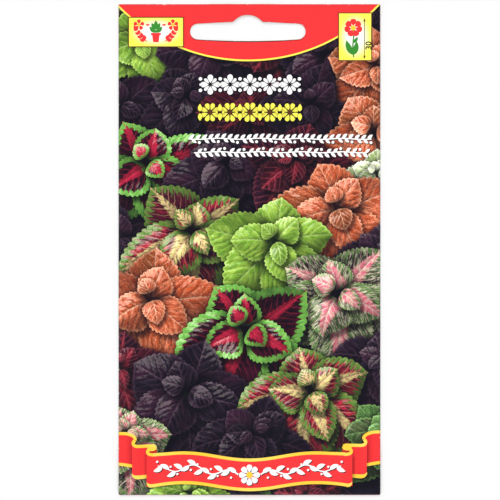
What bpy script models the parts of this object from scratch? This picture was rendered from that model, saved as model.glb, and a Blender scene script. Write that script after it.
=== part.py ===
"""A flat paper seed packet with a euro-slot hanging hole, lying on its back.

One printed sheet is folded round both sides, lapped and glued down the middle of
the back, closed by a bottom flap glued to the back, and glued shut across the
header, where a die punches the hanging slot through every ply. Loose inside lies
a small heat-sealed film sachet with the seeds.

Frame: +X to the right of the printed front, +Y towards the header, +Z out of the
front. The origin is on the resting plane, under the middle of the packet.
All sizes are in metres.
"""

import math

import bmesh
import bpy

MM = 0.001

# Outer size of the closed packet
WIDTH = 80.0 * MM
HEIGHT = 150.0 * MM

# Paper and glue
PAPER = 0.15 * MM  # one ply of coated paper
GLUE_GAP = 0.10 * MM  # face to face, between two glued plies
PITCH = PAPER + GLUE_GAP  # ply centre to ply centre
GLUE = 0.06 * MM  # thickness of a glue line

# Folds
SIDE_FOLD_R = 0.15 * MM  # centreline radius of the two side folds
SIDE_X = WIDTH / 2 - PAPER / 2 - SIDE_FOLD_R  # where the flat plies end
FOLD_STEPS = 6

# Lap seam down the back
LAP_HALF = 5.0 * MM  # each back panel runs this far past the middle
LAP_RAMP = (-9.5 * MM, -6.5 * MM)  # where the inner panel climbs over the outer one

# Bottom flap, folded under from the front panel
FLAP_LENGTH = 12.0 * MM
FLAP_HALF = 39.3 * MM
FLAP_TAPER = 0.11  # share of its half width lost by its free edge
BACK_END_Y = -74.0 * MM  # the back panels stop here, inside the bottom fold
BOTTOM_FOLD_Y = -74.5 * MM
BOTTOM_REACH = HEIGHT / 2 - PAPER / 2 + BOTTOM_FOLD_Y  # fold's half axis along Y
FLAP_RAMP = (-59.0 * MM, -62.0 * MM)  # where the back climbs over the flap

# Header and pouch
HEADER_Y = 57.0 * MM  # lower edge of the glued header
POUCH_BULGE = 1.9 * MM  # how far the filled pouch stands above the flat plies

# Hanging slot, a euro slot, punched through every ply
SLOT_X = -0.5 * MM  # the punch sits a little off the middle
SLOT_HALF = 17.65 * MM
SLOT_END_R = 2.4 * MM
SLOT_BOTTOM_Y = 63.7 * MM
SLOT_END_LIFT = 0.55 * MM  # the lower edge rises this much towards the ends
SLOT_BAR_TOP_Y = 69.6 * MM
SLOT_END_DROP = 0.55 * MM  # the upper edge falls this much towards the ends
CROWN_HALF = 4.85 * MM  # the round crown for the peg
CROWN_TOP_Y = 71.7 * MM
CROWN_FLAT = 0.75 * MM  # half width of the flat at the top of the crown

# Inner sachet
SACHET_X, SACHET_Y = 1.0 * MM, -20.0 * MM
SACHET_W, SACHET_H = 50.0 * MM, 68.0 * MM
FILM = 0.08 * MM
FILM_GAP = 0.04 * MM
SEAL_RIM = 4.0 * MM
SACHET_DOME = 1.1 * MM

# Seeds: a little flattened, 0.7 mm high as they lie
SEED_AXES = (1.0 * MM, 0.86 * MM, 0.7 * MM)
SEED_PLACES = (
    (-9.5, -4.0, 15),
    (-6.2, 5.6, 80),
    (-3.8, -8.4, 130),
    (-1.9, 0.9, 45),
    (0.4, -4.7, 100),
    (2.3, 7.2, 10),
    (4.4, -10.1, 60),
    (5.7, 1.6, 150),
    (8.3, -3.4, 35),
    (10.2, 6.1, 115),
)


def smooth(a, b, value):
    """0 before a, 1 after b, and an even S between them; b may be below a."""
    t = min(1.0, max(0.0, (value - a) / (b - a)))
    return t * t * (3 - 2 * t)


def back_lift(y):
    """How far the back panels are raised by the bottom flap under them."""
    return PITCH * smooth(FLAP_RAMP[0], FLAP_RAMP[1], y)


def lap_lift(x):
    """How far the inner back panel is raised by the outer one under it."""
    return PITCH * smooth(LAP_RAMP[0], LAP_RAMP[1], x)


def front_lift(x, y):
    """Height of the front ply's centreline above that of the outer back panel."""
    over_lap = smooth(-14 * MM, -10.5 * MM, x) * smooth(10 * MM, 6.5 * MM, x)
    flat = 2 * SIDE_FOLD_R + PITCH * over_lap
    across = 1 - abs(x / SIDE_X) ** 2.4
    t = (y - BOTTOM_FOLD_Y) / (HEADER_Y - BOTTOM_FOLD_Y)
    along = 1 - abs(2 * min(1.0, max(0.0, t)) - 1) ** 3.2
    return flat + POUCH_BULGE * max(0.0, across) * max(0.0, along)


def material(name, colour, roughness, metallic=0.0):
    made = bpy.data.materials.new(name)
    made.use_nodes = True
    shader = made.node_tree.nodes["Principled BSDF"]
    shader.inputs["Base Color"].default_value = (*colour, 1.0)
    shader.inputs["Roughness"].default_value = roughness
    shader.inputs["Metallic"].default_value = metallic
    made.diffuse_color = (*colour, 1.0)
    return made


def add_object(name, mesh, mat, parent=None):
    made = bpy.data.objects.new(name, mesh)
    bpy.context.scene.collection.objects.link(made)
    if mat is not None:
        mesh.materials.append(mat)
    made.parent = parent
    return made


def sheet_mesh(name, rows):
    """A mesh of quads from rows of points; None leaves a gap in a row."""
    bm = bmesh.new()
    made = [[None if p is None else bm.verts.new(p) for p in row] for row in rows]
    for low, high in zip(made, made[1:]):
        for i in range(len(low) - 1):
            corners = (low[i], low[i + 1], high[i + 1], high[i])
            if None not in corners:
                bm.faces.new(corners)
    mesh = bpy.data.meshes.new(name)
    bm.to_mesh(mesh)
    bm.free()
    return mesh


def thicken(obj, thickness):
    solidify = obj.modifiers.new("Ply", "SOLIDIFY")
    solidify.thickness = thickness
    solidify.offset = 0.0
    solidify.use_even_offset = True
    solidify.use_rim = True
    return solidify


def slot_outline(grow=0.0):
    """The hanging slot's outline, anticlockwise, grown evenly by a small amount."""
    half, end_r = SLOT_HALF, SLOT_END_R
    end_y = (SLOT_BOTTOM_Y + SLOT_END_LIFT + SLOT_BAR_TOP_Y - SLOT_END_DROP) / 2
    points = []

    def arc(cx, cy, r, first, last, steps):
        for k in range(steps + 1):
            a = math.radians(first + (last - first) * k / steps)
            points.append((cx + r * math.cos(a), cy + r * math.sin(a)))

    # lower edge, left to right, gently bowed
    for k in range(1, 6):
        u = -1 + 2 * k / 6
        points.append(
            (u * (half - end_r), SLOT_BOTTOM_Y + SLOT_END_LIFT * u * u - grow)
        )
    arc(half - end_r, end_y, end_r + grow, -88, 86, 8)
    # upper edge to the crown, the crown with a small flat, and on to the left
    shoulder = SLOT_BAR_TOP_Y + grow
    points.append((CROWN_HALF + 1.2 * MM, shoulder - 0.06 * MM))
    rise = CROWN_TOP_Y + grow - shoulder
    side = CROWN_HALF + grow * 0.6 - CROWN_FLAT
    for k in range(1, 7):
        a = math.pi / 2 * (0.1 + 0.9 * k / 6)
        points.append((CROWN_FLAT + side * math.cos(a), shoulder + rise * math.sin(a)))
    for k in range(6, 0, -1):
        a = math.pi / 2 * (0.1 + 0.9 * k / 6)
        points.append((-CROWN_FLAT - side * math.cos(a), shoulder + rise * math.sin(a)))
    points.append((-CROWN_HALF - 1.2 * MM, shoulder - 0.06 * MM))
    arc(-half + end_r, end_y, end_r + grow, 94, 268, 8)
    return [(SLOT_X + x, y) for x, y in points]


def slot_cutter(name, grow, z_low, z_high):
    """The die's punch: the slot's outline extruded through every ply."""
    bm = bmesh.new()
    loop = [bm.verts.new((x, y, z_low)) for x, y in slot_outline(grow)]
    face = bm.faces.new(loop)
    if face.normal.z > 0:
        face.normal_flip()
    raised = bmesh.ops.extrude_face_region(bm, geom=[face])["geom"]
    for vert in (g for g in raised if isinstance(g, bmesh.types.BMVert)):
        vert.co.z = z_high
    bmesh.ops.recalc_face_normals(bm, faces=bm.faces)
    mesh = bpy.data.meshes.new(name)
    bm.to_mesh(mesh)
    bm.free()
    made = add_object(name, mesh, None)
    made.hide_render = True
    made.display_type = "WIRE"
    return made


def punch(obj, cutter):
    cut = obj.modifiers.new("Slot", "BOOLEAN")
    cut.operation = "DIFFERENCE"
    cut.object = cutter
    cut.solver = "EXACT"


def side_fold(sign, base):
    """Points round a side fold, from the back ply up to the front ply."""
    made = []
    for k in range(1, FOLD_STEPS):
        a = -math.pi / 2 + math.pi * k / FOLD_STEPS
        made.append(
            (
                sign * (SIDE_X + SIDE_FOLD_R * math.cos(a)),
                base + SIDE_FOLD_R * (1 + math.sin(a)),
            )
        )
    return made


OUTER_PANEL_X = [-LAP_HALF, 0.0, 6 * MM, 24 * MM, SIDE_X]
FRONT_X = [
    x * MM
    for x in (39.3, 36, 32, 26, 20.5, 14.5, 10, 6.5, 0, -5.5, -10.5, -14, -20.5, -26, -32, -36, -39.3)
]
FRONT_X = [SIDE_X, *FRONT_X, -SIDE_X]
INNER_PANEL_X = [-SIDE_X, -24 * MM, -9.5 * MM, -8.5 * MM, -7.5 * MM, -6.5 * MM, 0.0, LAP_HALF]
ROWS_Y = [
    y * MM
    for y in (75, 66, 57, 54, 49, 42, 31, 18, 4, -10, -24, -37, -48, -56, -59, -60, -61, -62, -68, -72, -74)
]


def envelope_rows():
    """The folded sheet's centre surface, row by row from the header down."""
    rows = []
    for y in ROWS_Y:
        base = PAPER / 2 + back_lift(y)
        row = [(x, y, base) for x in OUTER_PANEL_X]
        row += [(x, y, z) for x, z in side_fold(1, base)]
        row += [(x, y, base + front_lift(x, y)) for x in FRONT_X]
        row += [(x, y, z) for x, z in reversed(side_fold(-1, base))]
        row += [(x, y, base + lap_lift(x)) for x in INNER_PANEL_X]
        rows.append(row)
    # The front panel goes on past the ends of the back panels, round the bottom
    # fold, and up under them as the flap.
    before = len(OUTER_PANEL_X) + FOLD_STEPS - 1
    after = len(rows[0]) - before - len(FRONT_X)

    def front_row(points):
        return [None] * before + points + [None] * after

    front_z = {
        x: PAPER / 2 + back_lift(BACK_END_Y) + front_lift(x, BOTTOM_FOLD_Y)
        for x in FRONT_X
    }
    rows.append(front_row([(x, BOTTOM_FOLD_Y, front_z[x]) for x in FRONT_X]))
    in_flap = {x: abs(x) <= FLAP_HALF + 1e-9 for x in FRONT_X}
    for k in range(1, 7):
        a = math.pi * k / 6
        points = []
        for x in FRONT_X:
            half_z = (front_z[x] - PAPER / 2) / 2
            points.append(
                (
                    x,
                    BOTTOM_FOLD_Y - BOTTOM_REACH * math.sin(a),
                    PAPER / 2 + half_z * (1 + math.cos(a)),
                )
                if in_flap[x]
                else None
            )
        rows.append(front_row(points))
    flap_end = -HEIGHT / 2 + FLAP_LENGTH
    for t in (0.5, 1.0):
        y = BOTTOM_FOLD_Y + (flap_end - BOTTOM_FOLD_Y) * t
        narrow = 1 - FLAP_TAPER * t
        rows.append(
            front_row(
                [(x * narrow, y, PAPER / 2) if in_flap[x] else None for x in FRONT_X]
            )
        )
    return rows


def glue_sheet(name, xs, ys, height, mat, parent):
    rows = [[(x, y, height(x, y)) for x in xs] for y in ys]
    made = add_object(name, sheet_mesh(name, rows), mat, parent)
    thicken(made, GLUE)
    return made


def film_rows(dome):
    """One film of the sachet: a flat sealed rim, and a soft dome inside it."""
    inner_w, inner_h = SACHET_W / 2 - SEAL_RIM, SACHET_H / 2 - SEAL_RIM
    shares = (-1, -0.92, -0.78, -0.55, -0.28, 0, 0.28, 0.55, 0.78, 0.92, 1)
    xs = [-SACHET_W / 2, *(s * inner_w for s in shares), SACHET_W / 2]
    ys = [-SACHET_H / 2, *(s * inner_h for s in shares), SACHET_H / 2]
    rows = []
    for y in reversed(ys):
        row = []
        for x in xs:
            u, v = min(1.0, abs(x) / inner_w), min(1.0, abs(y) / inner_h)
            row.append((x, y, dome * (1 - u**3.4) * (1 - v**3.4)))
        rows.append(row)
    return rows


def seed_mesh(name):
    """A seed: a small rounded grain, slightly pointed at one end."""
    bm = bmesh.new()
    bmesh.ops.create_icosphere(bm, subdivisions=2, radius=0.5)
    for vert in bm.verts:
        x, y, z = vert.co
        taper = 1 - 0.16 * max(0.0, x * 2)
        vert.co = (x * SEED_AXES[0], y * SEED_AXES[1] * taper, z * SEED_AXES[2] * taper)
    mesh = bpy.data.meshes.new(name)
    bm.to_mesh(mesh)
    bm.free()
    return mesh


def main():
    for obj in list(bpy.data.objects):
        bpy.data.objects.remove(obj)

    paper = material("printed_paper", (0.72, 0.16, 0.12), 0.32)
    glue = material("dry_glue", (0.86, 0.82, 0.68), 0.5)
    film = material("sachet_film", (0.80, 0.82, 0.84), 0.28, 0.6)
    seed = material("seed_coat", (0.16, 0.09, 0.05), 0.55)

    packet = bpy.data.objects.new("packet", None)
    bpy.context.scene.collection.objects.link(packet)

    punch_die = slot_cutter("slot_punch", 0.0, -2 * MM, 4 * MM)
    glue_die = slot_cutter("glue_clearance", 0.6 * MM, -2 * MM, 4 * MM)

    envelope = add_object(
        "envelope", sheet_mesh("envelope", envelope_rows()), paper, packet
    )
    thicken(envelope, PAPER)
    punch(envelope, punch_die)

    # Glue between the front and the back plies of the header, clear of the slot
    glue_x = [x for x in FRONT_X if abs(x) <= 36.1 * MM]
    header_glue = glue_sheet(
        "header_glue",
        glue_x,
        [73.5 * MM, 66 * MM, 57.6 * MM],
        lambda x, y: PAPER / 2 + front_lift(x, 75 * MM) - SIDE_FOLD_R
        if abs(x) > 12 * MM or x > 9 * MM
        else PAPER / 2 + front_lift(x, 75 * MM) - PITCH / 2,
        glue,
        packet,
    )
    punch(header_glue, glue_die)

    # Glue in the lap seam, between the two back panels
    glue_sheet(
        "back_seam_glue",
        [-3.5 * MM, 0.0, 3.5 * MM],
        [56 * MM, 0.0, -58 * MM],
        lambda x, y: PAPER / 2 + PITCH / 2,
        glue,
        packet,
    )

    # Glue between the bottom flap and the back panels
    glue_sheet(
        "bottom_flap_glue",
        [-32 * MM, 0.0, 32 * MM],
        [-64.5 * MM, -68 * MM, -72 * MM],
        lambda x, y: PAPER / 2 + PITCH / 2,
        glue,
        packet,
    )

    # The loose sachet, resting on the lap seam inside the pouch
    sachet = bpy.data.objects.new("sachet", None)
    bpy.context.scene.collection.objects.link(sachet)
    sachet.parent = packet
    floor_z = PAPER + PITCH + 0.05 * MM
    sachet.location = (SACHET_X, SACHET_Y, floor_z + FILM / 2)
    back_film = add_object(
        "sachet_back_film", sheet_mesh("sachet_back_film", film_rows(0.0)), film, sachet
    )
    thicken(back_film, FILM)
    front_film = add_object(
        "sachet_front_film",
        sheet_mesh("sachet_front_film", film_rows(SACHET_DOME)),
        film,
        sachet,
    )
    front_film.location = (0, 0, FILM + FILM_GAP)
    thicken(front_film, FILM)

    grain = seed_mesh("seed")
    grain.materials.append(seed)
    for number, (x, y, turn) in enumerate(SEED_PLACES, 1):
        made = add_object(f"seed_{number:02d}", grain, None, sachet)
        made.location = (
            x * MM,
            y * MM,
            FILM / 2 + SEED_AXES[2] / 2 + 0.03 * MM,
        )
        made.rotation_euler = (0, 0, math.radians(turn))

    bpy.context.view_layer.update()


main()
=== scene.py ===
"""The looks of a paper seed packet lying on its back: a printed, folded sheet with a
euro slot, seen from straight above on a pale floor.

The print is drawn as shapes in the plane of the paper, in millimetres, painted back
to front. They are cut into one flat set of triangles, with no layers, and then laid
on the paper's real surface. A leaf's veins, margin and blotches come from shader
nodes that read where on the leaf a point is.
"""

import math

import bpy
import numpy as np
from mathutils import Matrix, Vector
from mathutils.geometry import delaunay_2d_cdt
from mathutils.kdtree import KDTree


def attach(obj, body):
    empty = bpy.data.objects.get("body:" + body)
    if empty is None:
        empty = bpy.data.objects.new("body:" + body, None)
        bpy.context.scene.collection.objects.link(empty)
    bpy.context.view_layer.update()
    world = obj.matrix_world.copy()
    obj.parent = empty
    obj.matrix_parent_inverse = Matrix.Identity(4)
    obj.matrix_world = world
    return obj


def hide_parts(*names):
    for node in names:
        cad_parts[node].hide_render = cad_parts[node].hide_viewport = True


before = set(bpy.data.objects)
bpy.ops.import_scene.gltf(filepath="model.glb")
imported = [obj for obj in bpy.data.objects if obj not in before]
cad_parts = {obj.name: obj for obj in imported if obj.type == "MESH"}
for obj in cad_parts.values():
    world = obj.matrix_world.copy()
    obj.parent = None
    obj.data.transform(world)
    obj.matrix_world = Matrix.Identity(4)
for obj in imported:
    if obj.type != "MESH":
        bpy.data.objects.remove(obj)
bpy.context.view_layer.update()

MM = 0.001

# ---------------------------------------------------------------- the paper's shape
# All lengths below are millimetres. They follow the CAD envelope.
HALF_W, HALF_H = 40.0, 75.0
PLY = 0.15
PITCH = 0.25
FOLD_R = 0.225
FLAT_X = HALF_W - FOLD_R
BOTTOM_FLAT, BOTTOM_REACH = -74.5, 0.5
FLAP_HALF, FLAP_TOP, FLAP_TAPER = 39.7, -63.0, 0.115
BACK_END = -74.0
LAP = 5.0
HEADER_Y = 57.0
SLOT_X = -0.5
EDGE_STEP = 0.5
FOLD_AT = (0.0, 0.32, 0.58, 0.79, 0.93)  # shares of a fold's reach


def smooth(a, b, v):
    t = np.clip((np.asarray(v, float) - a) / (b - a), 0.0, 1.0)
    return t * t * (3 - 2 * t)


def back_lift(y):
    return PITCH * smooth(-59.0, -62.0, y)


def lap_lift(x):
    return PITCH * smooth(-9.5, -6.5, x)


def over_lap(x):
    return smooth(-14.0, -10.5, x) * smooth(10.0, 6.5, x)


# Soft creases of a filled packet: x, y, angle, half length, half width, height
CREASES = []


def make_creases():
    rng = np.random.default_rng(11)
    for sx in (-1, 1):
        for k, turn in enumerate((34, 52, 71)):
            CREASES.append((sx * (33 - 4.5 * k), -64 + 2.6 * k, 90 - sx * (90 - turn), 9 + 2 * k, 1.3 + 0.35 * k, 0.055))
        for k, turn in enumerate((-28, -47, -66)):
            CREASES.append((sx * (33 - 5 * k), 50 - 1.6 * k, 90 - sx * (90 - turn), 8 + 2 * k, 1.2 + 0.3 * k, -0.05 if k == 1 else 0.045))
    for _ in range(12):
        CREASES.append(
            (rng.uniform(-30, 30), rng.uniform(-55, 44), rng.uniform(0, 180), rng.uniform(7, 17), rng.uniform(1.4, 3.4), rng.choice([-1, 1]) * rng.uniform(0.015, 0.035))
        )


make_creases()


def slot_outline(grow=0.0, shift=0.0, step=0.28):
    """The hanging slot, anticlockwise: a bar with round ends and a round crown."""
    half, end_r = 17.65, 2.4
    low, high = 63.7, 69.6
    lift, drop = 0.55, 0.55
    end_y = (low + lift + high - drop) / 2
    crown, top = 4.55, 71.7
    points = []

    def arc(cx, cy, r, first, last, steps):
        for k in range(steps + 1):
            a = math.radians(first + (last - first) * k / steps)
            points.append((cx + r * math.cos(a), cy + r * math.sin(a)))

    n = int(2 * (half - end_r) / step)
    for k in range(1, n):
        u = -1 + 2 * k / n
        points.append((u * (half - end_r), low + lift * u * u - grow))
    arc(half - end_r, end_y, end_r + grow, -88, 86, 26)
    shoulder = high + grow
    start = points[-1]
    end = (crown + 1.2, shoulder - 0.06)
    m = int(abs(start[0] - end[0]) / step)
    for k in range(1, m):
        t = k / m
        points.append((start[0] + (end[0] - start[0]) * t, start[1] + (end[1] - start[1]) * t))
    # the crown is a round arch that runs into the bar's upper edge
    arch_r = 5.75
    half_crown = []
    for k in range(31):
        x = end[0] * (1 - k / 30)
        bar = shoulder - 0.06 * x / end[0]
        arch = top + grow - arch_r + math.sqrt(max(0.0, (arch_r + 0.0) ** 2 - x * x))
        e = max(0.0, 0.55 - abs(bar - arch))
        half_crown.append((x, max(bar, arch) + e * e / 2.2 * (1 if x > 3 else 0)))
    points += half_crown[1:]
    points += [(-x, y) for x, y in reversed(half_crown[1:-1])]
    points.append((-end[0], end[1]))
    for k in range(m - 1, 0, -1):
        t = k / m
        points.append((-(start[0] + (end[0] - start[0]) * t), start[1] + (end[1] - start[1]) * t))
    arc(-half + end_r, end_y, end_r + grow, 94, 268, 26)
    out = np.array([(SLOT_X + x, y + shift) for x, y in points])
    keep = np.r_[True, np.hypot(*np.diff(out, axis=0).T) > 0.02]
    return out[keep]


SLOT = slot_outline()


def distance(loops, p):
    """Distance from each point to the nearest edge of the loops."""
    a = np.concatenate(loops)
    d = np.concatenate([np.roll(l, -1, axis=0) for l in loops]) - a
    ax, ay, dx, dy = a[:, 0], a[:, 1], d[:, 0], d[:, 1]
    over = 1 / (dx * dx + dy * dy + 1e-12)
    best = np.empty(len(p))
    block = max(64, 400000 // len(a))
    for i in range(0, len(p), block):
        vx = p[i : i + block, 0][:, None] - ax
        vy = p[i : i + block, 1][:, None] - ay
        t = np.clip((vx * dx + vy * dy) * over, 0, 1)
        vx -= t * dx
        vy -= t * dy
        best[i : i + block] = np.sqrt((vx * vx + vy * vy).min(axis=1))
    return best


def inside(loops, p):
    """Whether each point is inside the loops, by the even-odd rule."""
    a = np.concatenate(loops)
    b = np.concatenate([np.roll(l, -1, axis=0) for l in loops])
    rise = b[:, 1] - a[:, 1]
    keep = np.abs(rise) > 1e-12
    a, b, rise = a[keep], b[keep], rise[keep]
    run = (b[:, 0] - a[:, 0]) / rise
    odd = np.empty(len(p), bool)
    block = max(64, 600000 // len(a))
    for i in range(0, len(p), block):
        x, y = p[i : i + block, 0][:, None], p[i : i + block, 1][:, None]
        across = (a[:, 1] > y) != (b[:, 1] > y)
        hit = across & (x < a[:, 0] + (y - a[:, 1]) * run)
        odd[i : i + block] = np.count_nonzero(hit, axis=1) % 2 == 1
    return odd


class Points:
    """Points that are asked again and again which of them are in a box."""

    def __init__(self, p):
        self.p = p
        self.order = np.argsort(p[:, 1], kind="stable")
        self.y = p[self.order, 1]
        self.x = p[self.order, 0]

    def within(self, low, high):
        i, j = np.searchsorted(self.y, [low[1], high[1]])
        x = self.x[i:j]
        return self.order[i:j][(x >= low[0]) & (x <= high[0])]


def near_slot(x, y):
    """Distance to the slot's edge, and how much of it is the lower edge."""
    d = np.full(np.shape(x), 9.0)
    close = (np.abs(x - SLOT_X) < 20) & (y > 61) & (y < 74.5)
    if close.any():
        d[close] = distance([SLOT], np.stack([x[close], y[close]], 1))
    return d, smooth(65.6, 64.6, y)


def flat_top(x, y):
    """Height of the front's printed face, without the roundings of its folds."""
    x, y = np.asarray(x, float), np.asarray(y, float)
    across = np.clip(1 - np.abs(x / FLAT_X) ** 2.4, 0, 1)
    t = np.clip((y - BOTTOM_FLAT) / (HEADER_Y - BOTTOM_FLAT), 0, 1)
    along = 1 - np.abs(2 * t - 1) ** 3.2
    filled = across * along
    z = back_lift(y) + 2 * FOLD_R + PITCH * over_lap(x) + 1.72 * filled
    # the sachet inside, felt through the paper
    sachet = (
        smooth(-26.5, -21.5, x) * smooth(28.5, 23.5, x) * smooth(-56, -50.5, y) * smooth(16.5, 11.0, y)
    )
    z = z + 0.10 * sachet * smooth(0.1, 0.5, filled)
    soft = smooth(0.02, 0.3, filled)
    for cx, cy, turn, half, wide, high in CREASES:
        a = math.radians(turn)
        u = (x - cx) * math.cos(a) + (y - cy) * math.sin(a)
        v = -(x - cx) * math.sin(a) + (y - cy) * math.cos(a)
        z = z + high * soft * np.exp(-((v / wide) ** 2)) * np.exp(-((u / half) ** 4))
    # slow waves of the paper, and the lines where the glued header meets the pouch
    z = z + soft * 0.022 * np.sin(x * 0.21 + 0.7) * np.cos(y * 0.17 + x * 0.05)
    inner = 1 - np.clip(np.abs(x) / FLAT_X, 0, 1) ** 10
    z = z + 0.014 * inner * np.sin(x * 0.42 + 1.0) * np.sin(y * 0.6) * smooth(57, 60, y)
    z = z - 0.04 * inner * np.exp(-(((y - 57.4) / 0.9) ** 2))
    z = z - 0.02 * inner * np.exp(-(((y + 62.6) / 0.8) ** 2))
    d, low = near_slot(x, y)
    z = z - (0.03 + 0.07 * low) * np.exp(-((d / 0.34) ** 2))
    return z


def fold_x(x):
    """Sine and cosine of the side fold's turn at x."""
    s = np.clip((np.abs(x) - FLAT_X) / FOLD_R, 0, 1)
    return s, np.sqrt(1 - s * s)


def fold_y(y):
    s = np.clip((BOTTOM_FLAT - y) / BOTTOM_REACH, 0, 1)
    return s, np.sqrt(1 - s * s)


def front_top(x, y):
    z = flat_top(x, np.maximum(y, BOTTOM_FLAT))
    _, c = fold_x(x)
    z = z - FOLD_R * (1 - c)
    _, c = fold_y(y)
    return z * (0.5 + 0.5 * c)


def slopes(f, x, y, e=0.02):
    return (f(x + e, y) - f(x - e, y)) / (2 * e), (f(x, y + e) - f(x, y - e)) / (2 * e)


def with_folds(n, x, y):
    """Turns normals out and down over the side and bottom folds."""
    s, c = fold_x(x)
    n = n * c[:, None]
    n[:, 0] += np.sign(x) * s
    s, c = fold_y(y)
    n = n * c[:, None]
    n[:, 1] -= s
    return n / np.linalg.norm(n, axis=1)[:, None]


def front_normal(x, y):
    dx, dy = slopes(flat_top, np.clip(x, -FLAT_X, FLAT_X), np.maximum(y, BOTTOM_FLAT))
    return with_folds(np.stack([-dx, -dy, np.ones_like(dx)], 1), x, y)


def outer_face(x, y):
    """Underside of the outer back panel, which lies on the floor."""
    _, c = fold_x(x)
    return back_lift(y) + FOLD_R * (1 - c)


def inner_face(x, y):
    return outer_face(x, y) + lap_lift(x)


def flap_face(x, y):
    _, c = fold_y(y)
    return flat_top(x, np.full(np.shape(x), BOTTOM_FLAT)) / 2 * (1 - c)


def under_normal(f):
    def made(x, y):
        dx, dy = slopes(f, np.clip(x, -FLAT_X, FLAT_X), np.maximum(y, BOTTOM_FLAT))
        n = with_folds(np.stack([dx, dy, -np.ones_like(dx)], 1), x, y)
        return n

    return made


# ---------------------------------------------------------------- plane shapes


def resampled(points, step):
    """The closed outline with points no further apart than step."""
    points = np.asarray(points, float)
    out = []
    for a, b in zip(points, np.roll(points, -1, axis=0)):
        n = max(1, int(math.ceil(np.hypot(*(b - a)) / step)))
        for k in range(n):
            out.append(a + (b - a) * k / n)
    return np.array(out)


class Shape:
    """One area of one ink. loops are its outlines, by the even-odd rule."""

    def __init__(self, loops, ink, lift=0.0, tone=None, dark=0.6, spread=None):
        self.loops = [np.asarray(l, float) for l in loops]
        self.ink = ink
        self.lift = lift  # how high it seems to float over what is under it
        self.tone = tone  # (x, y) -> shade, gradient
        self.dark = dark
        self.spread = spread
        self.fit()

    def fit(self):
        points = np.concatenate(self.loops)
        self.low, self.high = points.min(0), points.max(0)

    def marks(self, p):
        """light and info at points: for a plain ink, its shade and gradient."""
        light = np.zeros((len(p), 4))
        light[:, 0] = 1.0
        if self.tone is not None:
            shade, blend = self.tone(p[:, 0], p[:, 1])
            light[:, 0], light[:, 1] = shade, blend
        light[:, 3] = 2.0
        return np.zeros((len(p), 2)), light, np.zeros((len(p), 4))


SUN = np.array([-0.55, 0.83])
SUN = SUN / np.hypot(*SUN)


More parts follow.
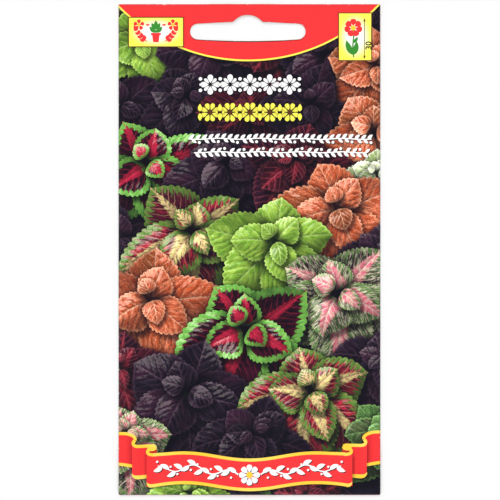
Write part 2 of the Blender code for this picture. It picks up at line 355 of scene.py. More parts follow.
class Leaf(Shape):
    """A toothed leaf with a curved midrib and veins that leave it in pairs."""

    def __init__(self, x, y, angle, length, width, ink, bend=0.0, depth=1.0, teeth=10, tooth=0.5,
                 left=1.0, right=1.0, base=0.5, tip=0.85, lift=1.4, veins=7, seed=0.0, arch=0.22,
                 droop=0.34, heart=1.0, lobes=0.0, shadow_base=0.5):
        self.x, self.y, self.turn = x, y, math.radians(angle)
        self.length, self.width = length, width
        self.k = bend / length if abs(bend) > 1e-3 else 1e-5 / length
        self.depth, self.seed, self.arch, self.droop = depth, seed, arch, droop
        self.left, self.right = left, right
        self.base, self.tip, self.veins, self.heart = base, tip, veins, heart
        self.teeth, self.tooth, self.lobes = teeth, tooth, lobes
        self.shadow_base = shadow_base
        super().__init__([self.outline()], ink, lift=lift, dark=0.74)

    def half(self, s):
        a, b = self.base, self.tip
        peak = a / (a + b)
        top = peak**a * (1 - peak) ** b
        s = np.clip(s, 0, 1)
        w = s**a * (1 - s) ** b / top
        if self.lobes:
            w = w * (1 + self.lobes * np.cos(2 * math.pi * (s * 3.5 + 0.1)))
        return self.width * w

    def place(self, u, t):
        f = self.turn + self.k * u
        x = self.x + (np.sin(f) - math.sin(self.turn)) / self.k - np.sin(f) * t
        y = self.y - (np.cos(f) - math.cos(self.turn)) / self.k + np.cos(f) * t
        return np.stack([x, y], -1)

    def local(self, p):
        k = self.k
        cx, cy = self.x - math.sin(self.turn) / k, self.y + math.cos(self.turn) / k
        vx, vy = p[:, 0] - cx, p[:, 1] - cy
        r = np.hypot(vx, vy)
        t = 1 / k - math.copysign(1, k) * r
        zx, zy = self.x - cx, self.y - cy
        u = np.arctan2(zx * vy - zy * vx, zx * vx + zy * vy) / k
        return u, t

    def outline(self):
        per = 5 if self.length > 8 else 4
        n = self.teeth * per
        s = (np.arange(1, n) / n) ** 1.0
        phase = (s * self.teeth) % 1.0
        bump = np.sin(math.pi * phase**1.35) ** 0.8
        grow = np.minimum(1, np.minimum(s * 7, (1 - s) * 5)) * self.tooth
        both = []
        for side, share in ((1, self.left), (-1, self.right)):
            t = side * (self.half(s) * share + grow * bump * (0.35 + 0.65 * share))
            u = self.length * s + 0.35 * grow * bump
            both.append(self.place(u, t))
        tip = self.place(np.array([self.length * 1.03]), np.array([0.0]))
        foot = self.place(np.array([0.0]), np.array([0.0]))
        return np.concatenate([foot, both[0], tip, both[1][::-1]])

    def marks(self, p):
        u, t = self.local(p)
        s, side = u / self.length, np.sign(t)
        along = np.stack([np.cos(self.turn + self.k * u), np.sin(self.turn + self.k * u)], 1)
        left = np.stack([-along[:, 1], along[:, 0]], 1)
        a_sun, l_sun = along @ SUN, left @ SUN
        out = np.abs(t) / self.length
        steep = 0.85 + 1.8 * out
        vein_dir = (a_sun - side * l_sun * steep) / np.sqrt(1 + steep**2)
        edge = distance(self.loops, p)
        edge[~inside(self.loops, p)] = 0.0
        w = np.maximum(self.half(s) * np.where(t > 0, self.left, self.right), 0.3)
        share = np.clip(np.abs(t) / w, 0, 1.2)
        shade = 1.0 + self.arch * l_sun * side * smooth(0.0, 0.6, share)
        shade += self.droop * (s - 0.42) * a_sun
        shade += 0.13 * np.sin(2 * math.pi * (s * 4.3 + self.seed + 0.25 * side)) * smooth(0.5, 1, share) * side * l_sun
        shade *= self.shadow_base + (1 - self.shadow_base) * smooth(0.0, 0.33, s)
        light = np.stack([1.03 * np.clip(shade, 0.06, 1.8) ** 1.58 * self.depth, vein_dir, l_sun, edge], 1)
        info = np.stack(
            [np.full(len(p), self.seed), np.full(len(p), float(self.veins)), np.full(len(p), self.length), np.full(len(p), self.heart)], 1
        )
        return np.stack([s, t / self.length], 1), light, info


def blade(x, y, angle, length, width, bend=0.0, base=0.75, tip=0.95, n=13):
    """A plain leaf or petal glyph, from its foot outwards."""
    a = math.radians(angle)
    k = bend / length if abs(bend) > 1e-3 else 1e-5 / length
    s = (1 - np.cos(math.pi * np.arange(n + 1) / n)) / 2
    peak = base / (base + tip)
    w = width * s**base * (1 - s) ** tip / (peak**base * (1 - peak) ** tip)

    def at(u, t):
        f = a + k * u
        return np.stack([x + (np.sin(f) - math.sin(a)) / k - np.sin(f) * t, y - (np.cos(f) - math.cos(a)) / k + np.cos(f) * t], -1)

    return np.concatenate([at(s * length, w), at(s * length, -w)[::-1][1:-1]])


def disc(x, y, r, n=None, ry=None, turn=0.0):
    n = n or max(10, int(2 * math.pi * r / 0.28))
    a = np.arange(n) * 2 * math.pi / n
    px, py = r * np.cos(a), (ry or r) * np.sin(a)
    c, s = math.cos(math.radians(turn)), math.sin(math.radians(turn))
    return np.stack([x + px * c - py * s, y + px * s + py * c], 1)


def box(x0, y0, x1, y1, step=0.8):
    return resampled([(x0, y0), (x1, y0), (x1, y1), (x0, y1)], step)


def stroke(points, width, end_width=None):
    """A line of the given width along a smooth run of points."""
    p = np.asarray(points, float)
    d = np.gradient(p, axis=0)
    n = np.stack([-d[:, 1], d[:, 0]], 1) / np.hypot(d[:, 0], d[:, 1])[:, None]
    w = np.linspace(width, end_width if end_width is not None else width, len(p))[:, None] / 2
    return np.concatenate([p + n * w, (p - n * w)[::-1]])


def numeral(text, size, x, y, turn=0.0, weight=0.0):
    """Outlines of plain figures, centred on x, y."""
    curve = bpy.data.curves.new("numeral", "FONT")
    curve.body = text
    curve.size = size
    curve.offset = weight
    curve.resolution_u = 3
    obj = bpy.data.objects.new("numeral", curve)
    bpy.context.scene.collection.objects.link(obj)
    bpy.context.view_layer.update()
    graph = bpy.context.evaluated_depsgraph_get()
    got = obj.evaluated_get(graph)
    mesh = got.to_mesh()
    points = np.array([v.co[:2] for v in mesh.vertices])
    uses = {}
    for face in mesh.polygons:
        for a, b in face.edge_keys:
            uses[(a, b)] = uses.get((a, b), 0) + 1
    follow = {}
    for (a, b), n in uses.items():
        if n == 1:
            follow.setdefault(a, []).append(b)
            follow.setdefault(b, []).append(a)
    loops, seen = [], set()
    for start in follow:
        if start in seen:
            continue
        loop, here, last = [], start, None
        while here not in seen:
            seen.add(here)
            loop.append(here)
            step = [v for v in follow[here] if v != last and (v not in seen)]
            if not step:
                break
            last, here = here, step[0]
        loops.append(points[loop])
    got.to_mesh_clear()
    bpy.data.objects.remove(obj)
    bpy.data.curves.remove(curve)
    everything = np.concatenate(loops)
    middle = (everything.min(0) + everything.max(0)) / 2
    c, s = math.cos(math.radians(turn)), math.sin(math.radians(turn))
    return [
        np.stack([x + (l[:, 0] - middle[0]) * c - (l[:, 1] - middle[1]) * s, y + (l[:, 0] - middle[0]) * s + (l[:, 1] - middle[1]) * c], 1)
        for l in loops
    ]


def shifted(loops, dx, dy):
    return [l + np.array([dx, dy]) for l in loops]


def mirrored(loops, about=0.0):
    return [np.stack([2 * about - l[:, 0], l[:, 1]], 1)[::-1] for l in loops]


class Turned(Shape):
    """A shape seen mirrored about the line x = about."""

    def __init__(self, source, about):
        self.source, self.about = source, about
        super().__init__(mirrored(source.loops, about), source.ink)

    def marks(self, p):
        q = p.copy()
        q[:, 0] = 2 * self.about - q[:, 0]
        return self.source.marks(q)


# ---------------------------------------------------------------- the front's print
RNG = np.random.default_rng(20)


def rosette(x, y, size, ink, turn, depth=1.0, width=0.4, teeth=12, tooth=0.6, base=0.46, tip=0.8,
            rings=((4, 1.0), (4, 0.68), (3, 0.42), (2, 0.24)), squash=0.68, lobes=0.0, rng=None):
    """A plant seen from above and in front: rings of leaves, the lowest and largest
    first, those that point away foreshortened and the others drooping."""
    rng = rng or RNG
    made = []
    last = rings[0][1]
    for ring, (count, share) in enumerate(rings):
        start = turn + ring * 47 + rng.uniform(-10, 10)
        order = [(start + k * 360 / count + rng.uniform(-14, 14)) % 360 for k in range(count)]
        order.sort(key=lambda a: -math.sin(math.radians(a)))
        for a in order:
            c, up = math.cos(math.radians(a)), math.sin(math.radians(a))
            reach = size * share * rng.uniform(0.86, 1.1) * (1 - (1 - squash) * max(0.0, up) - 0.06 * abs(up))
            half = size * share * width * rng.uniform(0.88, 1.12) * (1 - 0.12 * max(0.0, up))
            half = min(half, reach * 0.56)
            tilt = rng.uniform(0.1, 0.36)
            left, right = 1 - tilt * c + rng.uniform(-0.08, 0.08), 1 + tilt * c * 0.6 + rng.uniform(-0.08, 0.08)
            foot = 0.05 * size
            made.append(
                Leaf(
                    x + foot * c, y + 0.055 * size * ring + foot * up, a, reach, half, ink,
                    bend=-0.5 * c * rng.uniform(0.3, 1.2) + rng.uniform(-0.25, 0.25),
                    depth=depth * (0.74, 0.95, 1.1, 1.15)[min(ring, 3)] * rng.uniform(0.76, 1.16),
                    teeth=max(6, int(round(teeth * math.sqrt(reach / 18)))),
                    tooth=tooth * (reach / 18) ** 0.6,
                    left=min(1.15, max(0.55, left)),
                    right=min(1.15, max(0.55, right)),
                    base=base * rng.uniform(0.9, 1.15),
                    tip=tip * rng.uniform(0.88, 1.15),
                    lobes=lobes,
                    lift=0.5 + 1.5 * (reach / 16) ** 0.7,
                    veins=max(4, int(round(reach / 3.1 + 1))),
                    seed=rng.random(),
                    arch=rng.choice([0.42, 0.34, 0.26, -0.22]),
                    droop=rng.uniform(0.35, 0.95),
                    heart=rng.uniform(0.8, 1.25),
                    shadow_base=(0.1, 0.24, 0.5, 0.8)[min(ring, 3)],
                )
            )
    return made


def foliage():
    """Leaves all over the front, drawn back to front."""
    made = []
    # undergrowth: small dim leaves in the gaps
    for _ in range(330):
        x, y = RNG.uniform(-42, 42), RNG.uniform(-77, 68)
        long = RNG.uniform(5, 11)
        ink = RNG.choice(["leaf_ink", "leaf_wine", "leaf_moss", "leaf_ink", "leaf_moss", "leaf_ink"])
        made.append(
            Leaf(x, y, RNG.uniform(-160, -20) + RNG.choice([0, 0, 140]), long, long * RNG.uniform(0.22, 0.36), ink,
                 bend=RNG.uniform(-0.6, 0.6), depth=RNG.uniform(0.1, 0.55), teeth=6, tooth=0.35,
                 lift=1.2, veins=5, seed=RNG.random(), shadow_base=0.4)
        )
    sparse = ((5, 1.0), (3, 0.6), (2, 0.34))
    loose = ((4, 1.0), (3, 0.62), (2, 0.3))
    plants = [
        (39, 73, 16, "leaf_ink", 35, 0.8, {}),
        (-41, 74, 14, "leaf_moss", 10, 0.9, {}),
        (-33, 62, 19, "leaf_lime", 20, 0.85, {"rings": loose}),
        (-12, 60, 18, "leaf_ink", 70, 0.85, {"rings": loose}),
        (7, 63, 16, "leaf_wine", 10, 0.55, {}),
        (23, 58, 19, "leaf_ink", 40, 0.9, {"rings": loose}),
        (39, 55, 18, "leaf_ember", 15, 0.95, {"rings": sparse}),
        (-40, 42, 21, "leaf_ink", 60, 0.9, {"rings": loose}),
        (-19, 45, 18, "leaf_ink", 25, 0.85, {}),
        (0, 41, 19, "leaf_wine", 55, 0.42, {"rings": loose}),
        (19, 43, 19, "leaf_ink", 5, 0.7, {"rings": loose}),
        (38, 35, 21, "leaf_ember", 50, 1.05, {"rings": sparse}),
        (-31, 25, 23, "leaf_frame", 35, 0.95, {"rings": loose}),
        (-7, 24, 21, "leaf_ink", 15, 0.95, {}),
        (14, 26, 19, "leaf_wine", 65, 0.6, {}),
        (39, 22, 13, "leaf_cream", 5, 1.1, {}),
        (27, 11, 23, "leaf_ember", 20, 1.05, {"rings": sparse}),
        (-40, 2, 20, "leaf_ink", 30, 0.95, {"rings": loose}),
        (-17, 4, 24, "leaf_flame", 50, 0.95, {"rings": sparse}),
        (42, -3, 17, "leaf_ink", 0, 0.85, {}),
        (8, 1, 21, "leaf_lime", 15, 0.95, {"rings": sparse}),
        (-30, -17, 24, "leaf_ember", 25, 1.0, {"rings": sparse}),
        (27, -15, 25, "leaf_mosaic", 55, 1.0, {"teeth": 17, "rings": sparse}),
        (-1, -26, 25, "leaf_frame", 40, 0.95, {"rings": sparse}),
        (41, -36, 20, "leaf_ink", 70, 1.0, {}),
        (-40, -38, 20, "leaf_wine", 10, 0.75, {"rings": loose}),
        (-19, -45, 25, "leaf_ink", 60, 1.15, {"rings": sparse}),
        (19, -45, 24, "leaf_flame", 20, 0.95, {"rings": sparse}),
        (-39, -77, 13, "leaf_cream", 35, 1.0, {}),
        (41, -57, 16, "leaf_moss", 35, 0.75, {}),
        (-38, -58, 17, "leaf_mosaic", 20, 0.9, {"teeth": 15}),
        (1, -58, 19, "leaf_ink", 75, 0.85, {}),
        (-18, -76, 14, "leaf_lime", 0, 0.85, {}),
        (17, -77, 15, "leaf_wine", 30, 0.6, {}),
    ]
    for x, y, size, ink, turn, depth, more in plants:
        made += rosette(x, y, size, ink, turn, depth, **more)
    return made


ARC_R, ARC_X, ARC_LOW = 55.8, -0.45, 57.55


def arc_y(x, up=0.0):
    """Lower edge of the header band."""
    return ARC_LOW + ARC_R - math.sqrt((ARC_R - up) ** 2 - (x - ARC_X) ** 2)


def band_above(up, step=0.6):
    xs = np.arange(-40.6, 40.61, step)
    low = [(x, arc_y(x, up)) for x in xs if arc_y(x, up) < 75.6]
    return resampled([(low[0][0], 76.0), *low, (low[-1][0], 76.0)], 0.8)


def band_shape(y_low, y_high, x0, x1, step=0.6):
    xs = np.linspace(x0, x1, int((x1 - x0) / step) + 2)
    low = [(x, y_low(x)) for x in xs]
    high = [(x, y_high(x)) for x in xs]
    return resampled(low + high[::-1], 0.8)


def sprig(x, y, angle, length, pairs, leaf, width, bend=0.0, gap=0.0, both=True, stem=0.32, taper=0.35):
    """A stem with leaves along it, as separate outlines."""
    a = math.radians(angle)
    k = bend / length if abs(bend) > 1e-3 else 1e-5 / length
    u = np.linspace(0, length, max(6, int(length / 0.8)))
    f = a + k * u
    line = np.stack([x + (np.sin(f) - math.sin(a)) / k, y - (np.cos(f) - math.cos(a)) / k], 1)
    out = [stroke(line, stem, stem * 0.6)]
    for i in range(pairs):
        s = (gap + (i + 0.6) * (length - gap) / pairs)
        g = a + k * s
        px, py = x + (math.sin(g) - math.sin(a)) / k, y - (math.cos(g) - math.cos(a)) / k
        size = leaf * (1 - taper * i / max(1, pairs - 1))
        for side in (1, -1) if both else ((1,) if i % 2 else (-1,)):
            out.append(blade(px, py, math.degrees(g) + side * 46, size, size * width, bend=-side * 0.5))
    g = a + k * length
    end = line[-1]
    out.append(blade(end[0] - 0.3 * math.cos(g), end[1] - 0.3 * math.sin(g), math.degrees(g), leaf * 0.9, leaf * 0.9 * width))
    return out


def blossom(x, y, r, petals, turn=0.0, width=0.42, core=0.3):
    out = [blade(x + core * 0.6 * r * math.cos(math.radians(turn + 360 * i / petals)), y + core * 0.6 * r * math.sin(math.radians(turn + 360 * i / petals)),
                 turn + 360 * i / petals, r * (1 - core * 0.6), r * width, base=1.1, tip=0.5) for i in range(petals)]
    return out


def front_shapes():
    shapes = foliage()

    def add(loops, ink, **more):
        """Each outline as its own area, so that crossing outlines don't cancel."""
        for loop in loops:
            shapes.append(Shape([loop], ink, **more))

    # ribbon across the foot: a waved middle panel and ends that fold back in two steps
    def wave(x):
        """Lower edge of the ribbon's middle panel."""
        return -72.72 - 1.07 * np.cos(np.pi * x / 20) + 0.25 * smooth(20, 30, x)

    def crest(x):
        """Middle of the gold line along the panel's upper edge."""
        return wave(x) + 9.6 + 0.4 * smooth(24, 31, np.abs(x))

    def flow(points, step=0.3):
        """A smooth run through the points."""
        p = np.asarray(points, float)
        p = np.concatenate([2 * p[:1] - p[1:2], p, 2 * p[-1:] - p[-2:-1]])
        out = []
        for a, b, c, d in zip(p, p[1:], p[2:], p[3:]):
            n = max(2, int(math.ceil(np.hypot(*(c - b)) / step)))
            for t in np.arange(n) / n:
                out.append(0.5 * (2 * b + (c - a) * t + (2 * a - 5 * b + 4 * c - d) * t * t + (3 * b - a - 3 * c + d) * t**3))
        out.append(p[-2])
        return np.array(out)

    def placed(points, right):
        """Points of the left end, or of the right end, which stands a little higher."""
        p = np.asarray(points, float)
        if right:
            p = np.stack([-p[:, 0], p[:, 1] + 0.15 + 0.035 * (np.abs(p[:, 0]) - 29)], 1)
        return p

    def side(points, right):
        return resampled(placed(points, right)[:: -1 if right else 1], 0.5)

    def gilt(x, y):
        return 1.0 + 0 * x, 0.4 + 0.4 * np.sin(x * 0.5 + y * 0.9)

    def edging(points, right, width=0.95):
        """A gold edge line, in short overlapping lengths so that it can curl."""
        run = placed(flow(points), right)
        for i in range(0, len(run) - 1, 2):
            part = run[max(0, i - 1) : i + 3]
            if len(part) > 1:
                shapes.append(Shape([stroke(part, width)], "ink_gold", tone=gilt))

    top_line = [(-41.5, -56.22), (-39.9, -56.23), (-37.85, -56.26), (-36.4, -56.6), (-35.45, -57.08), (-34.95, -57.7), (-34.98, -58.3)]
    step_line = [(-34.93, -58.35), (-35.42, -58.75), (-35.52, -59.35), (-35.15, -59.9), (-34.29, -60.13), (-32.58, -60.06),
                 (-30.59, -59.94), (-29.35, -59.9), (-28.76, -60.2)]
    curl_line = [(-28.76, -60.2), (-28.9, -60.75), (-29.74, -61.02), (-30.59, -61.08), (-31.02, -61.42), (-31.08, -61.98), (-30.7, -62.46), (-29.74, -62.66), (-28.9, -62.66)]
    for right in (False, True):
        low = [(-35.6, -66.25), (-37.9, -65.75), (-41.5, -65.5)]
        shapes.append(Shape([side(top_line + [(-35.6, -59.0)] + low, right)], "ink_red", lift=0.7, dark=0.5,
                            tone=lambda x, y: (0.95 - 0.26 * smooth(38.6, 36.4, np.abs(x)), 0 * x)))
        edging(top_line, right)
        edging([(-41.5, -65.53), (-39.9, -65.58), (-37.9, -65.8), (-35.5, -66.17)], right)
        shapes.append(Shape([side([(-35.9, -59.4), (-35.3, -59.95), (-34.25, -60.1), (-31.0, -59.9), (-31.0, -69.4), (-33.75, -69.6),
                                   (-35.2, -69.5), (-35.8, -68.9)], right)], "ink_red", lift=0.7, dark=0.5,
                            tone=lambda x, y: (0.98 - 0.14 * np.exp(-(((np.abs(x) - 33.4) / 0.8) ** 2)) - 0.24 * smooth(32.9, 31.5, np.abs(x)), 0 * x)))
        shapes.append(Shape([side([(-35.95, -68.4), (-35.45, -68.84), (-34.72, -69.02), (-33.44, -68.98), (-31.0, -68.72), (-31.0, -69.8), (-32.87, -70.06),
                                   (-34.2, -70.2), (-35.05, -70.02), (-35.65, -69.5), (-35.93, -68.95)], right)], "ink_gold", tone=gilt))
        shapes.append(Shape([side([(-31.3, -60.2), (-28.6, -60.1), (-28.9, -61.0), (-31.1, -61.3)], right)], "ink_gold", tone=lambda x, y: (0.93 + 0 * x, 0 * x)))
        edging(step_line, right)
        shapes.append(Shape([side([(-31.0, -61.2), (-28.6, -60.9), (-28.25, -61.2), (-28.2, -62.5), (-31.0, -62.4)], right)], "ink_red", tone=lambda x, y: (0.42 + 0 * x, 0 * x)))
    panel = band_shape(lambda x: wave(x) + 0.5, crest, -31.42, 31.42)
    shapes.append(Shape([panel], "ink_red", lift=0.9, dark=0.55, tone=lambda x, y: (1.0 - 0.1 * smooth(27, 31.6, np.abs(x)), 0 * x)))
    for right in (False, True):
        edging(curl_line, right)
        foot = [(-31.42, -71.1), (-30.9, -71.5), (-30.2, -71.68), (-29.6, -71.64), (-29.6, -72.66), (-30.3, -72.7), (-30.75, -72.6), (-31.15, -72.15), (-31.4, -71.6)]
        shapes.append(Shape([side(foot, right)], "ink_gold", tone=gilt))
    for line, reach in ((lambda x: wave(x) + 0.5, 30.1), (crest, 29.3)):
        gold = band_shape(lambda x: line(x) - 0.48, lambda x: line(x) + 0.48, -reach, reach)
        shapes.append(Shape([gold], "ink_gold", tone=lambda x, y: (1.0 + 0 * x, 0.4 + 0.4 * np.sin(x * 0.18 + 1.2))))

    # a thin dark line of painted shadow along the slot's lower cut
    run = SLOT[(SLOT[:, 1] < 64.45) & (np.abs(SLOT[:, 0] - SLOT_X) < 15.6)]
    run = run[np.argsort(run[:, 0])]
    thick = 0.30 * (1 - (np.abs(run[:, 0] - SLOT_X - 0.6) / 15.8) ** 3)
    slot_shadow_line = np.concatenate([run + np.array([0.0, 0.05]), (run - np.stack([0 * thick, thick], 1))[::-1]])

    # header band with its yellow line
    shapes.append(Shape([band_above(0.0)], "ink_yellow", lift=0.5, dark=0.45))
    shapes.append(Shape([band_above(0.52)], "ink_red", tone=lambda x, y: (1.0 + 0 * x, 0 * x)))

    # the painted shadow line under the slot's lower cut, dark brown at a low shade
    shapes.append(Shape([slot_shadow_line], "ink_brown", tone=lambda x, y: (0.42 + 0 * x, 0 * x)))

    # the two yellow tags
    for x0, y0, x1, y1 in ((-37.05, 61.9, -20.1, 71.1), (27.15, 57.7, 37.45, 72.45)):
        shapes.append(Shape([box(x0, y0, x1, y1)], "ink_brown", lift=0.3, dark=0.35))
        cx, cy, rx, ry = (x0 + x1) / 2, (y0 + y1) / 2, (x1 - x0) / 2, (y1 - y0) / 2
        shapes.append(
            Shape([box(x0 + 0.24, y0 + 0.24, x1 - 0.24, y1 - 0.24)], "ink_yellow",
                  tone=lambda x, y, cx=cx, cy=cy, rx=rx, ry=ry: (1.0 + 0 * x, smooth(1.0, 0.35, np.sqrt(((x - cx) / rx) ** 2 + ((y - cy) / ry) ** 2)))))

    # left tag: a young plant in a pot between two blossoms
    tx, ty = -28.6, 66.5
    add([resampled([(tx - 1.15, ty - 0.9), (tx + 1.15, ty - 0.9), (tx + 0.85, ty - 3.1), (tx - 0.85, ty - 3.1)][::-1], 0.6),
         box(tx - 1.5, ty - 0.95, tx + 1.5, ty - 0.25)], "ink_red")
    add([stroke([(tx, ty - 0.4), (tx, ty + 0.6), (tx, ty + 1.7)], 0.3)], "ink_green")
    for side in (1, -1):
        add([blade(tx, ty + 0.0, 90 - side * 68, 2.6, 0.62, bend=side * 0.7), blade(tx, ty + 0.9, 90 - side * 48, 2.3, 0.58, bend=side * 0.5)], "ink_green")
        add(sprig(tx + side * 2.7, ty - 2.9, 90 - side * 56, 5.2, 4, 1.7, 0.34, bend=side * 0.5, stem=0.26), "ink_red")
        add(blossom(tx + side * 5.2, ty + 2.2, 1.65, 5, 90, 0.36), "ink_red")
        add([disc(tx + side * 5.2, ty + 2.2, 0.42)], "ink_gold")
        add([blade(tx + side * 3.1, ty + 2.2, 90 + side * 90, 1.3, 0.3)], "ink_red")
    add([blade(tx, ty + 1.3, 90, 2.3, 0.6)], "ink_green")

    # right tag: a flower, its height and a plain number
    fx, fy = 31.75, 67.8
    add([stroke([(fx, fy), (fx + 0.1, fy - 2.7), (fx - 0.15, fy - 5.6), (fx + 0.1, fy - 9.0)], 0.42)], "ink_green")
    add([blade(fx, fy - 8.2, 90 + 40, 4.9, 0.9, bend=-0.5), blade(fx, fy - 8.2, 90 - 30, 4.2, 0.85, bend=0.55),
         blade(fx, fy - 4.6, 90 - 52, 2.3, 0.5, bend=0.6)], "ink_green")
    add(blossom(fx, fy, 2.75, 7, 90, 0.34, core=0.35), "ink_red")
    add([disc(fx, fy, 0.78)], "ink_gold")
    ax = 35.15
    add([box(ax - 0.1, 59.0, ax + 0.1, 70.0), resampled([(ax - 0.36, 69.75), (ax + 0.36, 69.75), (ax, 70.8)], 0.4),
         resampled([(ax, 58.2), (ax + 0.36, 59.25), (ax - 0.36, 59.25)], 0.4)], "ink_brown")
    shapes.append(Shape(numeral("30", 2.6, 36.38, 62.4, 90, 0.055), "ink_black"))

    # ornaments over the leaves: a white frieze, then a yellow one
    def ornament(loops, ink, dx=0.36, dy=-0.36, lift=0.3):
        for loop in shifted(loops, dx, dy):
            shapes.append(Shape([loop], "ink_black"))
        for loop in loops:
            shapes.append(Shape([loop], ink, lift=lift, dark=0.5))

    white = []
    for i in range(-2, 3):
        x, y, r = 0.15 + i * 6.05, 50.4, 3.2 - 0.06 * abs(i)
        for k in range(8):
            a, far = math.radians(45 * k), (1.0, 0.8)[k % 2]
            white.append(blade(x + 0.5 * math.cos(a), y + 0.5 * math.sin(a), 45 * k, (r - 0.5) * far, (0.86, 0.5)[k % 2], base=1.1, tip=0.6))
    for i in range(-3, 3):
        x = 3.18 + i * 6.05
        white += [disc(x, 50.4 + s * 1.75, 0.55) for s in (-1, 1)] + [disc(x, 50.4, 0.36)]
    ornament(white, "ink_white")

    yellow = []
    for i in range(-2, 3):
        x, r = 0.15 + i * 6.1, 3.05 - 0.08 * abs(i)
        yellow += blossom(x, 41.9, r, 8, 22.5, 0.24, core=0.4)
    for i in range(-3, 3):
        x = 3.2 + i * 6.1
        yellow += [blade(x, 42.2, 90, 2.3, 0.62), blade(x, 41.6, -90, 2.3, 0.62)]
        yellow += [disc(x - 1.0, 41.9, 0.34), disc(x + 1.0, 41.9, 0.34)] if -3 < i < 2 else []
    ornament(yellow, "ink_yellow")
    for i in range(-2, 3):
        shapes.append(Shape([disc(0.15 + i * 6.1, 41.9, 0.62)], "ink_brown"))

    # two close rows of small leaves under them
    for y, x0, x1, turn in ((33.8, -18.7, 37.3, 1), (29.7, -16.9, 35.9, -1)):
        garland = [stroke([(x, y + 0.16 * math.sin(x * 0.5)) for x in np.linspace(x0, x1, 70)], 0.36)]
        count = int((x1 - x0) / 1.92)
        for i in range(count):
            px = x0 + 0.5 + i * (x1 - x0 - 1.6) / (count - 1)
            py = y + 0.16 * math.sin(px * 0.5)
            garland.append(blade(px, py, turn * 55, 2.05, 0.5, bend=-turn * 0.4))
            if i % 3 == 1:
                garland.append(disc(px + 0.95, py - turn * 1.0, 0.46))
            else:
                garland.append(blade(px + 0.7, py, -turn * 52, 1.85, 0.46, bend=turn * 0.4))
        ornament(garland, "ink_white", 0.27, -0.27, lift=0.0)

    # and a white scroll along the ribbon
    def middle(x):
        return float(wave(x)) + 5.0

    scroll = []
    for side_of in (1, -1):
        arm = []
        line = np.array([(3.4 + 24.6 * t, middle(3.4 + 24.6 * t) + 1.05 * math.sin(t * 4.5 * math.pi)) for t in np.linspace(0, 1, 60)])
        arm.append(stroke(line, 0.5, 0.3))
        for i in range(12):
            t = (i + 0.35) / 12
            px = 3.4 + 24.6 * t
            py = middle(px) + 1.05 * math.sin(t * 4.5 * math.pi)
            up = 1 if i % 2 == 0 else -1
            arm.append(blade(px, py, up * 50, 3.1, 0.7, bend=-up * 0.75))
            if i % 3 != 1:
                arm.append(disc(px + 1.5, py - up * 1.45, 0.36))
        scroll += arm if side_of > 0 else mirrored(arm, 0.0)
    scroll += blossom(0, middle(0), 3.2, 8, 90, 0.27, core=0.4)
    ornament(scroll, "ink_white", 0.25, -0.25, lift=0.0)
    shapes.append(Shape([disc(0, middle(0), 0.95)], "ink_gold"))
    return shapes


